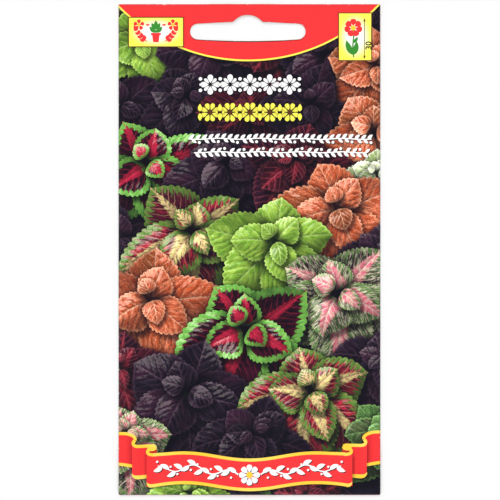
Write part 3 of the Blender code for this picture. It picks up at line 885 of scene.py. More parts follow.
def back_shapes(front):
    """The back's print, drawn as seen from behind and then turned over."""
    shapes = []

    def add(loops, ink, **more):
        for loop in loops:
            shapes.append(Shape([loop], ink, **more))

    add([box(-41, 60.0, 41, 76)], "ink_red")
    add([box(-41, 59.2, 41, 60.0)], "ink_yellow")
    # a green garland
    for side in (1, -1):
        arm = sprig(2.5, 54.0, 6, 29, 9, 3.6, 0.3, bend=-0.2, stem=0.4, taper=0.35)
        add(arm if side > 0 else mirrored(arm, 0.0), "ink_green")
    add(blossom(0, 54.2, 3.0, 6, 90, 0.36), "ink_red")
    add([disc(0, 54.2, 0.9)], "ink_gold")

    # care signs: sun, water, pot and shoot
    for x, ink in ((-27, "ink_blue"), (-9, "ink_gold"), (9, "ink_green"), (27, "ink_brown")):
        add([disc(x, 43, 5.6)], ink)
        add([disc(x, 43, 5.0)], "ink_white")
    add([disc(-27, 42.3, 2.3), resampled([(-29.1, 43.2), (-24.9, 43.2), (-27, 47.0)], 0.5)], "ink_blue")
    add([blade(-27.9, 41.9, 100, 1.8, 0.3)], "ink_white")
    add([disc(-9, 43, 1.8)], "ink_gold")
    add([blade(-9 + 2.3 * math.cos(a), 43 + 2.3 * math.sin(a), math.degrees(a), 1.9, 0.34) for a in np.arange(10) * math.pi / 5], "ink_gold")
    add([stroke([(9, 39.4), (9.1, 41.5), (9, 43.6)], 0.45), blade(9, 41.2, 35, 3.4, 0.9, bend=0.5), blade(9, 41.2, 145, 3.4, 0.9, bend=-0.5), blade(9, 43.2, 90, 3.2, 0.8)], "ink_green")
    add([resampled([(25.6, 39.6), (28.4, 39.6), (29.2, 43.2), (24.8, 43.2)], 0.5), box(24.4, 43.1, 29.6, 44.1)], "ink_brown")
    add([blade(27, 44.1, 90 + d, 3.2, 0.6, bend=0.3) for d in (-38, 38, 0)], "ink_green")

    # a year's calendar with plain numbers
    left, wide, top = -33.0, 5.5, 33.6
    add([box(left, top - 5.0, left + 12 * wide, top)], "ink_green")
    for k in range(12):
        for loops in (numeral(str(k + 1), 3.1, left + (k + 0.5) * wide, top - 2.5),):
            shapes.append(Shape(loops, "ink_white"))
    for row, (ink, first, last) in enumerate((("ink_gold", 1.4, 4.0), ("ink_green", 4.0, 5.6), ("ink_red", 5.4, 9.6))):
        y = top - 5.0 - 4.4 * (row + 1)
        add([box(left + first * wide, y + 0.8, left + last * wide, y + 3.6)], ink)
    for k in range(13):
        add([box(left + k * wide - 0.09, top - 18.2, left + k * wide + 0.09, top - 5.0, 1.2)], "ink_grey")
    for row in range(4):
        y = top - 5.0 - 4.4 * row
        add([box(left, y - 0.09, left + 12 * wide, y + 0.09, 1.2)], "ink_grey")

    # depth and spacing: soil, two shoots and their measures
    ground = [(x, -2.0 + 0.35 * math.sin(x * 0.9) + 0.2 * math.sin(x * 2.3)) for x in np.linspace(-31, 31, 90)]
    shapes.append(Shape([resampled(ground + [(31, -11), (-31, -11)], 0.8)[::-1]], "ink_brown", tone=lambda x, y: (0.75 + 0.25 * smooth(-11, -2, y), 0 * x)))
    for x in (-13.0, 13.0):
        add([disc(x, -6.4, 0.75)], "ink_gold")
        add([stroke([(x, -5.8), (x + 0.2, -3.0), (x, 0.5), (x + 0.1, 3.2)], 0.5)], "ink_green")
        add([blade(x, 0.6, 30, 4.6, 1.2, bend=0.5), blade(x, 0.6, 150, 4.6, 1.2, bend=-0.5), blade(x, 2.6, 55, 3.6, 0.95, bend=0.5), blade(x, 2.6, 125, 3.6, 0.95, bend=-0.5), blade(x, 3.0, 90, 3.0, 0.7)], "ink_green")
        add([stroke([(x, -7.2), (x - 0.4, -8.6), (x - 1.4, -9.8)], 0.25), stroke([(x, -7.2), (x + 0.5, -8.4), (x + 1.2, -10.0)], 0.25)], "ink_white")
    add([box(-11.4, 7.35, 11.4, 7.6), resampled([(-12.9, 7.48), (-11.2, 6.85), (-11.2, 8.1)], 0.5), resampled([(12.9, 7.48), (11.2, 8.1), (11.2, 6.85)], 0.5)], "ink_grey")
    shapes.append(Shape(numeral("30", 4.0, 0, 10.0), "ink_grey"))
    add([box(22.9, -5.4, 23.15, -3.2), resampled([(23.03, -2.2), (22.5, -3.4), (23.55, -3.4)], 0.5), resampled([(23.03, -6.4), (23.55, -5.2), (22.5, -5.2)], 0.5)], "ink_white")
    shapes.append(Shape(numeral("1", 3.4, 26.0, -4.3), "ink_white"))

    # one plant as a vignette, and two empty boxes
    made = rosette(0, -37, 18, "leaf_frame", 30, 1.0, rng=np.random.default_rng(9))
    shapes += made
    for x0, x1 in ((-34, -14), (14, 34)):
        add([box(x0, -60.5, x1, -55.0)], "ink_grey")
        add([box(x0 + 0.18, -60.32, x1 - 0.18, -55.18)], "ink_white")

    turned = [Turned(s, 0.0) for s in shapes]
    cover = Shape([box(-39.45, -76, 39.45, 76)], "paper_back")
    wrapped = []
    for about in (HALF_W, -HALF_W):
        for s in front:
            if (about > 0 and s.high[0] > HALF_W - 0.7) or (about < 0 and s.low[0] < -HALF_W + 0.7):
                wrapped.append(Turned(s, about))
    head = [Shape([box(-41, 60.0, 41, 76)], "ink_red")]
    return wrapped + [cover] + head + turned


def flap_shapes():
    shapes = [
        Shape([box(-41, -76, 41, -60)], "ink_red"),
        Shape([box(-41, FLAP_TOP - 1.2, 41, FLAP_TOP + 0.2)], "ink_gold"),
    ]
    loops = []
    for side in (1, -1):
        arm = sprig(2.5, -69.6, -4, 24, 8, 3.2, 0.3, bend=0.16, stem=0.4, taper=0.3)
        loops += arm if side > 0 else mirrored(arm, 0.0)
    loops += blossom(0, -69.4, 2.8, 6, 90, 0.36)
    for loop in loops:
        shapes.append(Shape([loop], "ink_white"))
    shapes.append(Shape([disc(0, -69.4, 0.9)], "ink_gold"))
    return shapes


# ---------------------------------------------------------------- cutting and laying


def lattice(low, high, step, seed):
    rng = np.random.default_rng(seed)
    out = []
    for i, y in enumerate(np.arange(low[1], high[1], step * 0.87)):
        x = np.arange(low[0] + (step / 2 if i % 2 else 0), high[0], step)
        out.append(np.stack([x, np.full(len(x), y)], 1))
    p = np.concatenate(out)
    return p + rng.uniform(-0.2, 0.2, p.shape) * step


def clear_of(p, a, b, gap):
    """Drops points nearer than about gap to the edges a-b."""
    n = 1 + np.ceil(np.hypot(*(b - a).T) / gap).astype(int)
    cells = []
    for k in np.unique(n):
        t = (np.arange(k + 1) / k)[None, :, None]
        cells.append((a[n == k][:, None] * (1 - t) + b[n == k][:, None] * t).reshape(-1, 2))
    marks = np.concatenate(cells)
    low = np.array([-HALF_W - 3, -HALF_H - 3])
    size = (np.array([2 * HALF_W + 6, 2 * HALF_H + 6]) / gap).astype(int) + 2
    grid = np.zeros(size, bool)
    c = ((marks - low) / gap).astype(int)
    c = c[((c >= 1) & (c < size - 1)).all(1)]
    for i in (-1, 0, 1):
        for j in (-1, 0, 1):
            grid[c[:, 0] + i, c[:, 1] + j] = True
    c = ((p - low) / gap).astype(int)
    return p[~grid[c[:, 0], c[:, 1]]]


def cut(points, a, b):
    """Triangles over the points, with the edges a-b among their sides."""
    both = np.round(np.concatenate([a, b, points]), 5)
    unique, index = np.unique(both, axis=0, return_inverse=True)
    index = index.reshape(-1)
    edges = np.stack([index[: len(a)], index[len(a) : 2 * len(a)]], 1)
    edges = np.unique(np.sort(edges[edges[:, 0] != edges[:, 1]], axis=1), axis=0)
    got = delaunay_2d_cdt([Vector(v) for v in unique.tolist()], edges.tolist(), [], 0, 1e-5)
    v = np.array([tuple(q) for q in got[0]])
    f = np.array(got[2])
    p, q, r = v[f[:, 0]], v[f[:, 1]], v[f[:, 2]]
    area = (q[:, 0] - p[:, 0]) * (r[:, 1] - p[:, 1]) - (q[:, 1] - p[:, 1]) * (r[:, 0] - p[:, 0])
    f[area < 0] = f[area < 0][:, ::-1]
    return v, f[np.abs(area) > 1e-9]


def open_edges(f):
    """Sides used by one triangle only, in its order."""
    e = np.concatenate([f[:, [0, 1]], f[:, [1, 2]], f[:, [2, 0]]])
    big = int(f.max()) + 1
    forward, back = e[:, 0] * big + e[:, 1], e[:, 1] * big + e[:, 0]
    return e[~np.isin(forward, back)]


def within(loops, p):
    """Inside the first loop and in none of the others."""
    got = inside(loops[:1], p)
    return got & ~inside(loops[1:], p) if len(loops) > 1 else got


def ends(loops):
    a = np.concatenate(loops)
    b = np.concatenate([np.roll(l, -1, axis=0) for l in loops])
    return a, b


def showing(shapes, low, high):
    """Outline edges, or parts of them, that no later shape covers."""
    a, b, owner = [], [], []
    for i, s in enumerate(shapes):
        if (s.high < low).any() or (s.low > high).any():
            continue
        for loop in s.loops:
            a.append(loop)
            b.append(np.roll(loop, -1, axis=0))
            owner.append(np.full(len(loop), i))
    a, b, owner = np.concatenate(a), np.concatenate(b), np.concatenate(owner)
    keep = np.zeros(len(a), bool)
    for share in (0.03, 0.5, 0.97):
        q = a * (1 - share) + b * share
        hidden = (q[:, 0] < low[0] - 0.02) | (q[:, 1] < low[1] - 0.02) | (q[:, 0] > high[0] + 0.02) | (q[:, 1] > high[1] + 0.02)
        found = Points(q)
        for i, s in enumerate(shapes):
            near = found.within(s.low, s.high)
            near = near[~hidden[near] & (owner[near] < i)]
            if len(near):
                hidden[near[inside(s.loops, q[near])]] = True
        keep |= ~hidden
    return a[keep], b[keep]


def topmost(c, shapes):
    top = np.zeros(len(c), int)
    free = np.ones(len(c), bool)
    found = Points(c)
    for i in range(len(shapes) - 1, 0, -1):
        s = shapes[i]
        near = found.within(s.low, s.high)
        near = near[free[near]]
        if len(near):
            hit = near[inside(s.loops, c[near])]
            top[hit], free[hit] = i, False
    return top


def paint(v, f, shapes):
    """For each triangle its shape, and for each corner what the inks read there, with a painted shadow along the slot's
    lower edge.
    """
    top = topmost(v[f].mean(1), shapes)
    key = f.astype(np.int64) * len(shapes) + top[:, None]
    pairs, back = np.unique(key.reshape(-1), return_inverse=True)
    vert, shape = pairs // len(shapes), pairs % len(shapes)
    p = v[vert]
    place, light, info = np.zeros((len(p), 2)), np.zeros((len(p), 4)), np.zeros((len(p), 4))
    order = np.argsort(shape, kind="stable")
    starts = np.searchsorted(shape[order], np.arange(len(shapes) + 1))
    for i, s in enumerate(shapes):
        rows = order[starts[i] : starts[i + 1]]
        if len(rows):
            place[rows], light[rows], info[rows] = s.marks(p[rows])
    dim = np.ones(len(p))
    found = Points(p)
    for i, s in enumerate(shapes):
        if s.lift <= 0:
            continue
        reach = s.lift * 1.3 + 1.2
        rows = found.within(s.low - reach, s.high + reach)
        rows = rows[shape[rows] < i]
        if not len(rows):
            continue
        q = p[rows]
        moved = q + SUN * s.lift
        away = distance(s.loops, moved)
        away = np.where(inside(s.loops, moved), away, -away)
        soft = 0.35 + 0.4 * s.lift
        shadow = smooth(-soft, soft * 0.6, away)
        near = np.exp(-distance(s.loops, q) / (0.18 + 0.28 * s.lift))
        dim[rows] *= 1 - s.dark * np.maximum(shadow, 0.72 * near)
    light[:, 0] *= np.maximum(dim, 0.03) ** 1.35
    # painted shadow: the print darkens in a thin band just below the slot's lower edge
    away, lower = near_slot(p[:, 0], p[:, 1])
    light[:, 0] *= 1 - 0.8 * lower * np.exp(-((away / 0.2) ** 2))
    back = back.reshape(-1)
    return top, place[back], light[back], info[back]


def linear(*rgb):
    out = []
    for c in rgb:
        c = c / 255
        out.append(c / 12.92 if c <= 0.04045 else ((c + 0.055) / 1.055) ** 2.4)
    return (*out, 1.0)


def lay(name, loops, shapes, height, normal, up, step, seed, inner_step=3.0, folds=(), extra=None):
    """A closed sheet of paper: the printed face, the bare face and the cut edges."""
    low = np.concatenate(loops).min(0)
    high = np.concatenate(loops).max(0)
    a, b = showing(shapes, low, high)
    border = ends(loops)
    rows = [lattice(low - 0.2, high + 0.2, step, seed)]
    side = np.arange(low[1] + 0.3, high[1] - 0.3, 0.5)
    for sign in folds:
        if sign in (-1, 1):
            for share in FOLD_AT:
                rows.append(np.stack([np.full(len(side), sign * (FLAT_X + FOLD_R * share)), side + 0.1 * share], 1))
        else:
            along = np.arange(low[0] + 0.3, high[0] - 0.3, 0.5)
            for share in FOLD_AT:
                rows.append(np.stack([along + 0.1 * share, np.full(len(along), BOTTOM_FLAT - BOTTOM_REACH * share)], 1))
    edges = np.concatenate([border[0], a]), np.concatenate([border[1], b])
    plain = rows[0]
    band = np.zeros(len(plain), bool)
    for sign in folds:
        band |= (sign * plain[:, 0] > FLAT_X - 0.15) if sign in (-1, 1) else (plain[:, 1] < BOTTOM_FLAT + 0.15)
    rows[0] = plain[~band]
    points = clear_of(np.concatenate([rows[0]]), *edges, 0.09)
    if len(rows) > 1:
        points = np.concatenate([points, clear_of(np.concatenate(rows[1:]), *border, 0.04)])
    v, f = cut(points, *edges)
    f = f[within(loops, v[f].mean(1))]
    used = np.unique(f)
    new = np.full(len(v), -1)
    new[used] = np.arange(len(used))
    v, f = v[used], new[f]
    top, place, light, info = paint(v, f, shapes)

    # the bare face, from the same border
    rim = open_edges(f)
    rim_ids = np.unique(rim)
    back_points = clear_of(lattice(low, high, inner_step, seed + 1), v[rim[:, 0]], v[rim[:, 1]], 0.3)
    extra_rows = []
    for sign in folds:
        if sign in (-1, 1):
            for share in (0.0, 0.5, 0.85):
                y = np.arange(low[1] + 0.5, high[1] - 0.5, 1.5)
                extra_rows.append(np.stack([np.full(len(y), sign * (FLAT_X + FOLD_R * share)), y], 1))
    if extra_rows:
        back_points = np.concatenate([back_points, clear_of(np.concatenate(extra_rows), v[rim[:, 0]], v[rim[:, 1]], 0.03)])
    w, g = cut(back_points, v[rim[:, 0]], v[rim[:, 1]])
    g = g[within(loops, w[g].mean(1))]
    used = np.unique(g)
    new = np.full(len(w), -1)
    new[used] = np.arange(len(used))
    w, g = w[used], new[g]
    # its border points become the printed face's own
    tree = KDTree(len(w))
    for j, q in enumerate(w.tolist()):
        tree.insert((*q, 0.0), j)
    tree.balance()
    twin = np.full(len(v), -1)
    for i in rim_ids:
        _, twin[i], gap = tree.find((*v[i], 0.0))
        if gap > 0.002:
            raise ValueError(f"{name}: the bare face has no border point at {v[i]}")

    nw = normal(w[:, 0], w[:, 1])
    outer = np.column_stack([v, height(v[:, 0], v[:, 1])])
    inner = np.column_stack([w, height(w[:, 0], w[:, 1])]) - PLY * nw
    n = len(v)
    sign_f = f if up else f[:, ::-1]
    sign_g = g[:, ::-1] if up else g
    walls = []
    for i, j in rim:
        p, q = (i, j) if up else (j, i)
        walls.append((q, p, n + twin[p]))
        walls.append((q, n + twin[p], n + twin[q]))
    walls = np.array(walls)
    faces = np.concatenate([sign_f, sign_g + n, walls])
    xyz = np.concatenate([outer, inner])
    mesh = bpy.data.meshes.new(name)
    mesh.from_pydata((xyz * MM).tolist(), [], faces.tolist())

    kinds = sorted({shapes[i].ink for i in np.unique(top)})
    kinds += ["paper_inside", "paper_core"]
    for kind in kinds:
        mesh.materials.append(INKS[kind])
    slot_of = {k: i for i, k in enumerate(kinds)}
    shape_slot = np.array([slot_of.get(s.ink, 0) for s in shapes])
    ids = np.concatenate([shape_slot[top], np.full(len(g), slot_of["paper_inside"]), np.full(len(walls), slot_of["paper_core"])])
    mesh.polygons.foreach_set("material_index", ids.astype(np.int32))
    mesh.polygons.foreach_set("use_smooth", np.ones(len(faces), bool))

    corners = len(faces) * 3
    first = len(f) * 3

    def spread(values, fill):
        if not up:
            values = values.reshape(len(f), 3, -1)[:, ::-1].reshape(first, -1)
        full = np.tile(np.array(fill, float), (corners, 1))
        full[:first] = values
        return full

    layer = mesh.uv_layers.new(name="leaf")
    layer.data.foreach_set("uv", spread(place, (0, 0)).astype(np.float32).ravel())
    for label, values, fill in (("light", light, (1, 0, 0, 2)), ("info", info, (0, 6, 10, 1))):
        attribute = mesh.attributes.new(label, "FLOAT_COLOR", "CORNER")
        attribute.data.foreach_set("color", spread(values, fill).astype(np.float32).ravel())
    # distance to the sheet's edge, which the shader uses both to rub the print through to white and to darken it there
    # as painted shade
    wear_and_shade_reach = np.concatenate([np.minimum(distance(loops, v), 4.0), np.full(len(w), 4.0)])
    attribute = mesh.attributes.new("rim", "FLOAT", "POINT")
    attribute.data.foreach_set("value", wear_and_shade_reach.astype(np.float32))

    # a bake map: the printed face, then the bare face and the edges beside it
    size = high - low
    scale = 0.96 / max(size[1], size[0] * 1.6)
    uv = np.zeros((corners, 2))
    uv[:first] = (v[sign_f.ravel()] - low) * scale + 0.01
    across = 0.01 + size[0] * scale + 0.02
    left = 0.99 - across
    small = min(0.6 * left / size[0], 0.96 / size[1])
    uv[first : first + len(g) * 3] = (w[sign_g.ravel()] - low) * small + np.array([across, 0.01])
    start = across + size[0] * small + 0.015
    columns = 10
    cell = (0.985 - start) / columns
    each = int(math.ceil(len(rim) / columns))
    k = np.arange(len(rim))
    cx, cy = start + (k // each) * cell, 0.01 + (k % each) * (0.97 / each)
    dx, dy = cell * 0.8, 0.97 / each * 0.85
    strip = np.stack([np.stack([cx, cy], 1), np.stack([cx + dx, cy], 1), np.stack([cx + dx, cy + dy], 1),
                      np.stack([cx, cy], 1), np.stack([cx + dx, cy + dy], 1), np.stack([cx, cy + dy], 1)], 1)
    uv[first + len(g) * 3 :] = strip.reshape(-1, 2)
    layer = mesh.uv_layers.new(name="OFBake")
    layer.data.foreach_set("uv", uv.astype(np.float32).ravel())


    # the two faces are smooth, and the cut edges stay crisp
    mesh.update()
    sides = np.empty(len(mesh.edges) * 2, np.int32)
    mesh.edges.foreach_get("vertices", sides)

    def coded(pairs):
        pairs = np.sort(pairs.reshape(-1, 2), axis=1).astype(np.int64)
        return pairs[:, 0] * (len(xyz) + 1) + pairs[:, 1]

    mesh.edges.foreach_set("use_edge_sharp", np.isin(coded(sides), coded(walls[:, [0, 1, 1, 2, 2, 0]])))
    mesh.update()
    obj = bpy.data.objects.new(name, mesh)
    bpy.context.scene.collection.objects.link(obj)
    return obj


# ---------------------------------------------------------------- materials


class Nodes:
    """A material's node tree, built with short calls."""

    def __init__(self, name):
        self.mat = bpy.data.materials.new(name)
        self.mat.use_nodes = True
        self.tree = self.mat.node_tree
        self.tree.nodes.clear()

    def new(self, kind, **options):
        node = self.tree.nodes.new(kind)
        for key, value in options.items():
            setattr(node, key, value)
        return node

    def put(self, socket, value):
        if isinstance(value, bpy.types.NodeSocket):
            self.tree.links.new(value, socket)
        else:
            socket.default_value = value

    def math(self, kind, *values, clamp=False):
        node = self.new("ShaderNodeMath", operation=kind, use_clamp=clamp)
        for socket, value in zip(node.inputs, values):
            self.put(socket, value)
        return node.outputs[0]

    def ease(self, value, low, high, to_low=0.0, to_high=1.0):
        """to_low below low, to_high above high, and smooth between."""
        node = self.new("ShaderNodeMapRange", interpolation_type="SMOOTHSTEP")
        for key, v in (("Value", value), ("From Min", low), ("From Max", high), ("To Min", to_low), ("To Max", to_high)):
            self.put(node.inputs[key], v)
        return node.outputs[0]

    def mix(self, share, a, b, kind="MIX", clamp=True):
        node = self.new("ShaderNodeMix", data_type="RGBA", blend_type=kind, clamp_factor=clamp)
        for i, v in ((0, share), (6, a), (7, b)):
            self.put(node.inputs[i], v)
        return node.outputs[2]

    def noise(self, vector, scale, detail=2.0, rough=0.5, distort=0.0):
        node = self.new("ShaderNodeTexNoise")
        for key, v in (("Vector", vector), ("Scale", scale), ("Detail", detail), ("Roughness", rough), ("Distortion", distort)):
            self.put(node.inputs[key], v)
        return node.outputs["Fac"]

    def cells(self, vector, scale, feature="F1", random=1.0):
        node = self.new("ShaderNodeTexVoronoi", feature=feature)
        self.put(node.inputs["Vector"], vector)
        self.put(node.inputs["Scale"], scale)
        self.put(node.inputs["Randomness"], random)
        return node.outputs["Distance"]

    def join(self, x, y, z=0.0):
        node = self.new("ShaderNodeCombineXYZ")
        for i, v in enumerate((x, y, z)):
            self.put(node.inputs[i], v)
        return node.outputs[0]

    def parts(self, vector):
        node = self.new("ShaderNodeSeparateXYZ")
        self.put(node.inputs[0], vector)
        return node.outputs

    def attribute(self, name):
        return self.new("ShaderNodeAttribute", attribute_name=name).outputs

    def millimetres(self):
        node = self.new("ShaderNodeVectorMath", operation="SCALE")
        self.put(node.inputs[0], self.new("ShaderNodeTexCoord").outputs["Object"])
        node.inputs["Scale"].default_value = 1000.0
        return node.outputs[0]

    def finish(self, colour, rough, height=None, bump=0.1, distance=0.0001, **fixed):
        shader = self.new("ShaderNodeBsdfPrincipled")
        self.put(shader.inputs["Base Color"], colour)
        self.put(shader.inputs["Roughness"], rough)
        for key, v in fixed.items():
            shader.inputs[key.replace("_", " ").title().replace("Ior", "IOR")].default_value = v
        if height is not None:
            node = self.new("ShaderNodeBump")
            node.inputs["Strength"].default_value = bump
            node.inputs["Distance"].default_value = distance
            self.put(node.inputs["Height"], height)
            self.tree.links.new(node.outputs[0], shader.inputs["Normal"])
        self.tree.links.new(shader.outputs[0], self.new("ShaderNodeOutputMaterial").inputs[0])
        return self.mat


DEEP = linear(9, 8, 20)


def printed(n, colour):
    """The gloss-laminated print over any colour, with its rubbed edges, paper grain and a painted shade along the
    paper's edges.
    """
    mm = n.millimetres()
    # ink grain and slow unevenness of the print
    grain = n.noise(mm, 5.5, 1.0, 0.6)
    colour = n.mix(1.0, colour, n.mix(grain, (0.86, 0.86, 0.88, 1), (1.12, 1.12, 1.1, 1)), "MULTIPLY")
    # rubbed through to white at folds, corners and cut edges, and darkened there as painted shade
    rim = n.attribute("rim")["Fac"]
    rub = n.noise(mm, 1.1, 4.0, 0.65)
    worn = n.math("MULTIPLY", n.ease(rim, 0.04, 0.36, 1.0, 0.0), n.ease(rub, 0.6, 0.69))
    # painted shade: the print darkens within half a millimetre of the paper's edge
    colour = n.mix(n.ease(rim, 0.0, 0.5, 0.34, 0.0), colour, DEEP)
    colour = n.mix(n.math("MULTIPLY", worn, 0.7), colour, linear(244, 240, 232))
    fibre = n.noise(mm, 3.0, 3.0, 0.6)
    cockle = n.noise(mm, 0.16, 2.0, 0.5)
    height = n.math("ADD", n.math("MULTIPLY", fibre, 0.12), n.math("MULTIPLY", cockle, 1.6))
    rough = n.math("ADD", n.math("MULTIPLY", n.noise(mm, 0.35, 3.0, 0.6), 0.16), 0.24)
    rough = n.math("ADD", rough, n.math("MULTIPLY", worn, 0.3))
    return n.finish(colour, rough, height, 0.35, 0.00012, specular_ior_level=0.12, coat_weight=0.06, coat_roughness=0.1)


def flat_ink(name, colour, second=None, dark=DEEP):
    n = Nodes(name)
    light = n.attribute("light")
    parts = n.parts(light["Color"])
    tint = n.mix(parts[1], linear(*colour), linear(*(second or colour)))
    mm = n.millimetres()
    slow = n.noise(mm, 0.5, 3.0, 0.6)
    tint = n.mix(1.0, tint, n.mix(slow, (0.955, 0.955, 0.955, 1), (1.04, 1.04, 1.04, 1)), "MULTIPLY")
    return printed(n, n.mix(parts[0], dark, tint, clamp=False))


def leaf_ink(name, body, body2, edge, heart, vein, fleck, margin=0.0, ragged=0.9, heart_mm=0.0, fleck_share=0.0,
             fleck_scale=0.8, quilt=0.35, vein_share=0.5, net=0.25, sheen=0.12, dark=DEEP, rough_edge=0.35, drift=None, flecks_last=False):
    """A leaf's colours from where on the leaf a point is.
    body and body2 mottle the blade; edge is the margin band; heart is along the midrib."""
    n = Nodes(name)
    uv = n.parts(n.new("ShaderNodeUVMap", uv_map="leaf").outputs[0])
    light = n.attribute("light")
    shade, q_light, p_light = n.parts(light["Color"])[:3]
    edge_mm = light["Alpha"]
    info = n.attribute("info")
    seed, count, length = n.parts(info["Color"])[:3]
    breadth = info["Alpha"]
    s, tau = uv[0], uv[1]
    out = n.math("ABSOLUTE", tau)
    side = n.math("SIGN", tau)
    s_mm, t_mm = n.math("MULTIPLY", s, length), n.math("MULTIPLY", out, length)
    gap = n.math("DIVIDE", length, count)

    lean = n.math("ADD", n.math("MULTIPLY", out, 0.85), n.math("MULTIPLY", n.math("MULTIPLY", out, out), 0.9))
    wobble = n.noise(n.join(s_mm, t_mm, n.math("MULTIPLY", seed, 91.0)), 0.24, 3.0, 0.6)
    q = n.math("MULTIPLY", count, n.math("SUBTRACT", s, lean))
    q = n.math("ADD", q, n.math("ADD", n.math("MULTIPLY", side, 0.25), n.math("MULTIPLY", wobble, 1.1)))
    across = n.math("MULTIPLY", q, gap)
    spot = n.join(across, t_mm, n.math("ADD", n.math("MULTIPLY", seed, 53.0), n.math("MULTIPLY", side, 7.0)))
    f = n.math("FRACT", q)
    near_vein = n.math("MULTIPLY", n.math("ABSOLUTE", n.math("SUBTRACT", f, 0.5)), n.math("MULTIPLY", gap, 0.72))
    wave = n.math("SINE", n.math("MULTIPLY", f, 2 * math.pi))
    crown = n.math("COSINE", n.math("MULTIPLY", f, 2 * math.pi))

    # blade
    mottle = n.noise(spot, 0.42, 4.0, 0.62)
    colour = n.mix(n.ease(mottle, 0.38, 0.64), linear(*body), linear(*body2))
    if drift:
        age = n.math("FRACT", n.math("MULTIPLY", seed, 13.7))
        age = n.math("ADD", age, n.math("MULTIPLY", n.math("SUBTRACT", n.noise(spot, 0.16, 2.0), 0.5), 1.6))
        colour = n.mix(n.ease(age, 0.35, 1.0, 0.0, 0.85), colour, linear(*drift))
    if heart_mm:
        spread = n.math("MULTIPLY", n.math("MULTIPLY", breadth, heart_mm), n.math("SUBTRACT", 1.12, s))
        ratio = n.math("DIVIDE", n.math("ADD", t_mm, n.math("MULTIPLY", n.math("SUBTRACT", n.noise(spot, 0.8, 4.0, 0.7), 0.5), 2.6)), spread)
        colour = n.mix(n.ease(ratio, 0.75, 1.15, 1.0, 0.0), colour, linear(*heart))
    if fleck_share and not flecks_last:
        flecks = n.noise(n.join(n.math("MULTIPLY", across, 1.5), n.math("MULTIPLY", t_mm, 0.8), n.math("MULTIPLY", seed, 31.0)), fleck_scale, 4.0, 0.72)
        colour = n.mix(n.math("MULTIPLY", n.ease(flecks, 0.5, 0.57), fleck_share), colour, linear(*fleck))
    if margin:
        small = n.ease(length, 3.0, 20.0, 2.0, 0.9)
        band = n.math("ADD", n.math("MULTIPLY", edge_mm, small), n.math("MULTIPLY", crown, -rough_edge))
        band = n.math("ADD", band, n.math("MULTIPLY", n.math("SUBTRACT", n.noise(spot, 0.9, 3.0, 0.7), 0.5), 2.0 * ragged))
        colour = n.mix(n.ease(band, margin - 0.16, margin + 0.2, 1.0, 0.0), colour, linear(*edge))
    else:
        colour = n.mix(n.ease(edge_mm, 0.1, 0.75, 0.6, 0.0), colour, linear(*edge))
    if fleck_share and flecks_last:
        flecks = n.noise(n.join(n.math("MULTIPLY", across, 1.5), n.math("MULTIPLY", t_mm, 0.8), n.math("MULTIPLY", seed, 31.0)), fleck_scale, 4.0, 0.72)
        colour = n.mix(n.math("MULTIPLY", n.ease(flecks, 0.5, 0.57), fleck_share), colour, linear(*fleck))
    # veins, the net between them and the midrib
    fade = n.ease(t_mm, 0.2, 5.5, 1.0, 0.35)
    line = n.math("MULTIPLY", n.ease(near_vein, 0.07, 0.24, 1.0, 0.0), n.math("MULTIPLY", fade, vein_share))
    colour = n.mix(line, colour, linear(*vein))
    mesh = n.cells(n.join(across, n.math("MULTIPLY", t_mm, 1.2), n.math("MULTIPLY", seed, 17.0)), 0.95, "DISTANCE_TO_EDGE")
    bright = n.math("SUBTRACT", 1.0 + 0.1 * net, n.ease(mesh, 0.02, 0.16, net, 0.0))
    width = n.math("ADD", n.math("MULTIPLY", n.math("SUBTRACT", 1.0, s), n.math("MULTIPLY", length, 0.014)), 0.07)
    rib = n.ease(n.math("SUBTRACT", t_mm, width), -0.05, 0.14, 1.0, 0.0)
    colour = n.mix(n.math("MULTIPLY", rib, min(1.0, vein_share * 1.5)), colour, linear(*vein))
    # the blade bulges between its veins and dips along the midrib
    calm = n.math("MULTIPLY", n.ease(t_mm, 0.3, 2.0), n.ease(edge_mm, 0.0, 1.4))
    calm = n.math("MULTIPLY", calm, n.ease(n.noise(spot, 0.25, 2.0), 0.3, 0.62, 0.25, 1.0))
    puff = n.math("MULTIPLY", n.math("MULTIPLY", wave, n.math("MULTIPLY", q_light, calm)), quilt * 0.85)
    dip = n.math("MULTIPLY", n.math("MULTIPLY", n.ease(t_mm, 0.1, 1.3, 1.0, 0.0), n.math("MULTIPLY", side, p_light)), -0.3)
    lumps = n.math("MULTIPLY", n.math("SUBTRACT", n.noise(spot, 0.5, 4.0, 0.66), 0.5), 1.1 * quilt + 0.25)
    bright = n.math("ADD", bright, n.math("ADD", n.math("ADD", puff, dip), lumps))
    bright = n.math("ADD", bright, n.math("MULTIPLY", crown, -0.1 * quilt))
    bright = n.math("MAXIMUM", n.math("MULTIPLY", bright, shade), 0.0)
    colour = n.mix(bright, dark, colour, clamp=False)
    shine = n.math("MULTIPLY", n.ease(bright, 1.0, 1.45), sheen)
    colour = n.mix(shine, colour, linear(255, 244, 236))
    return printed(n, colour)


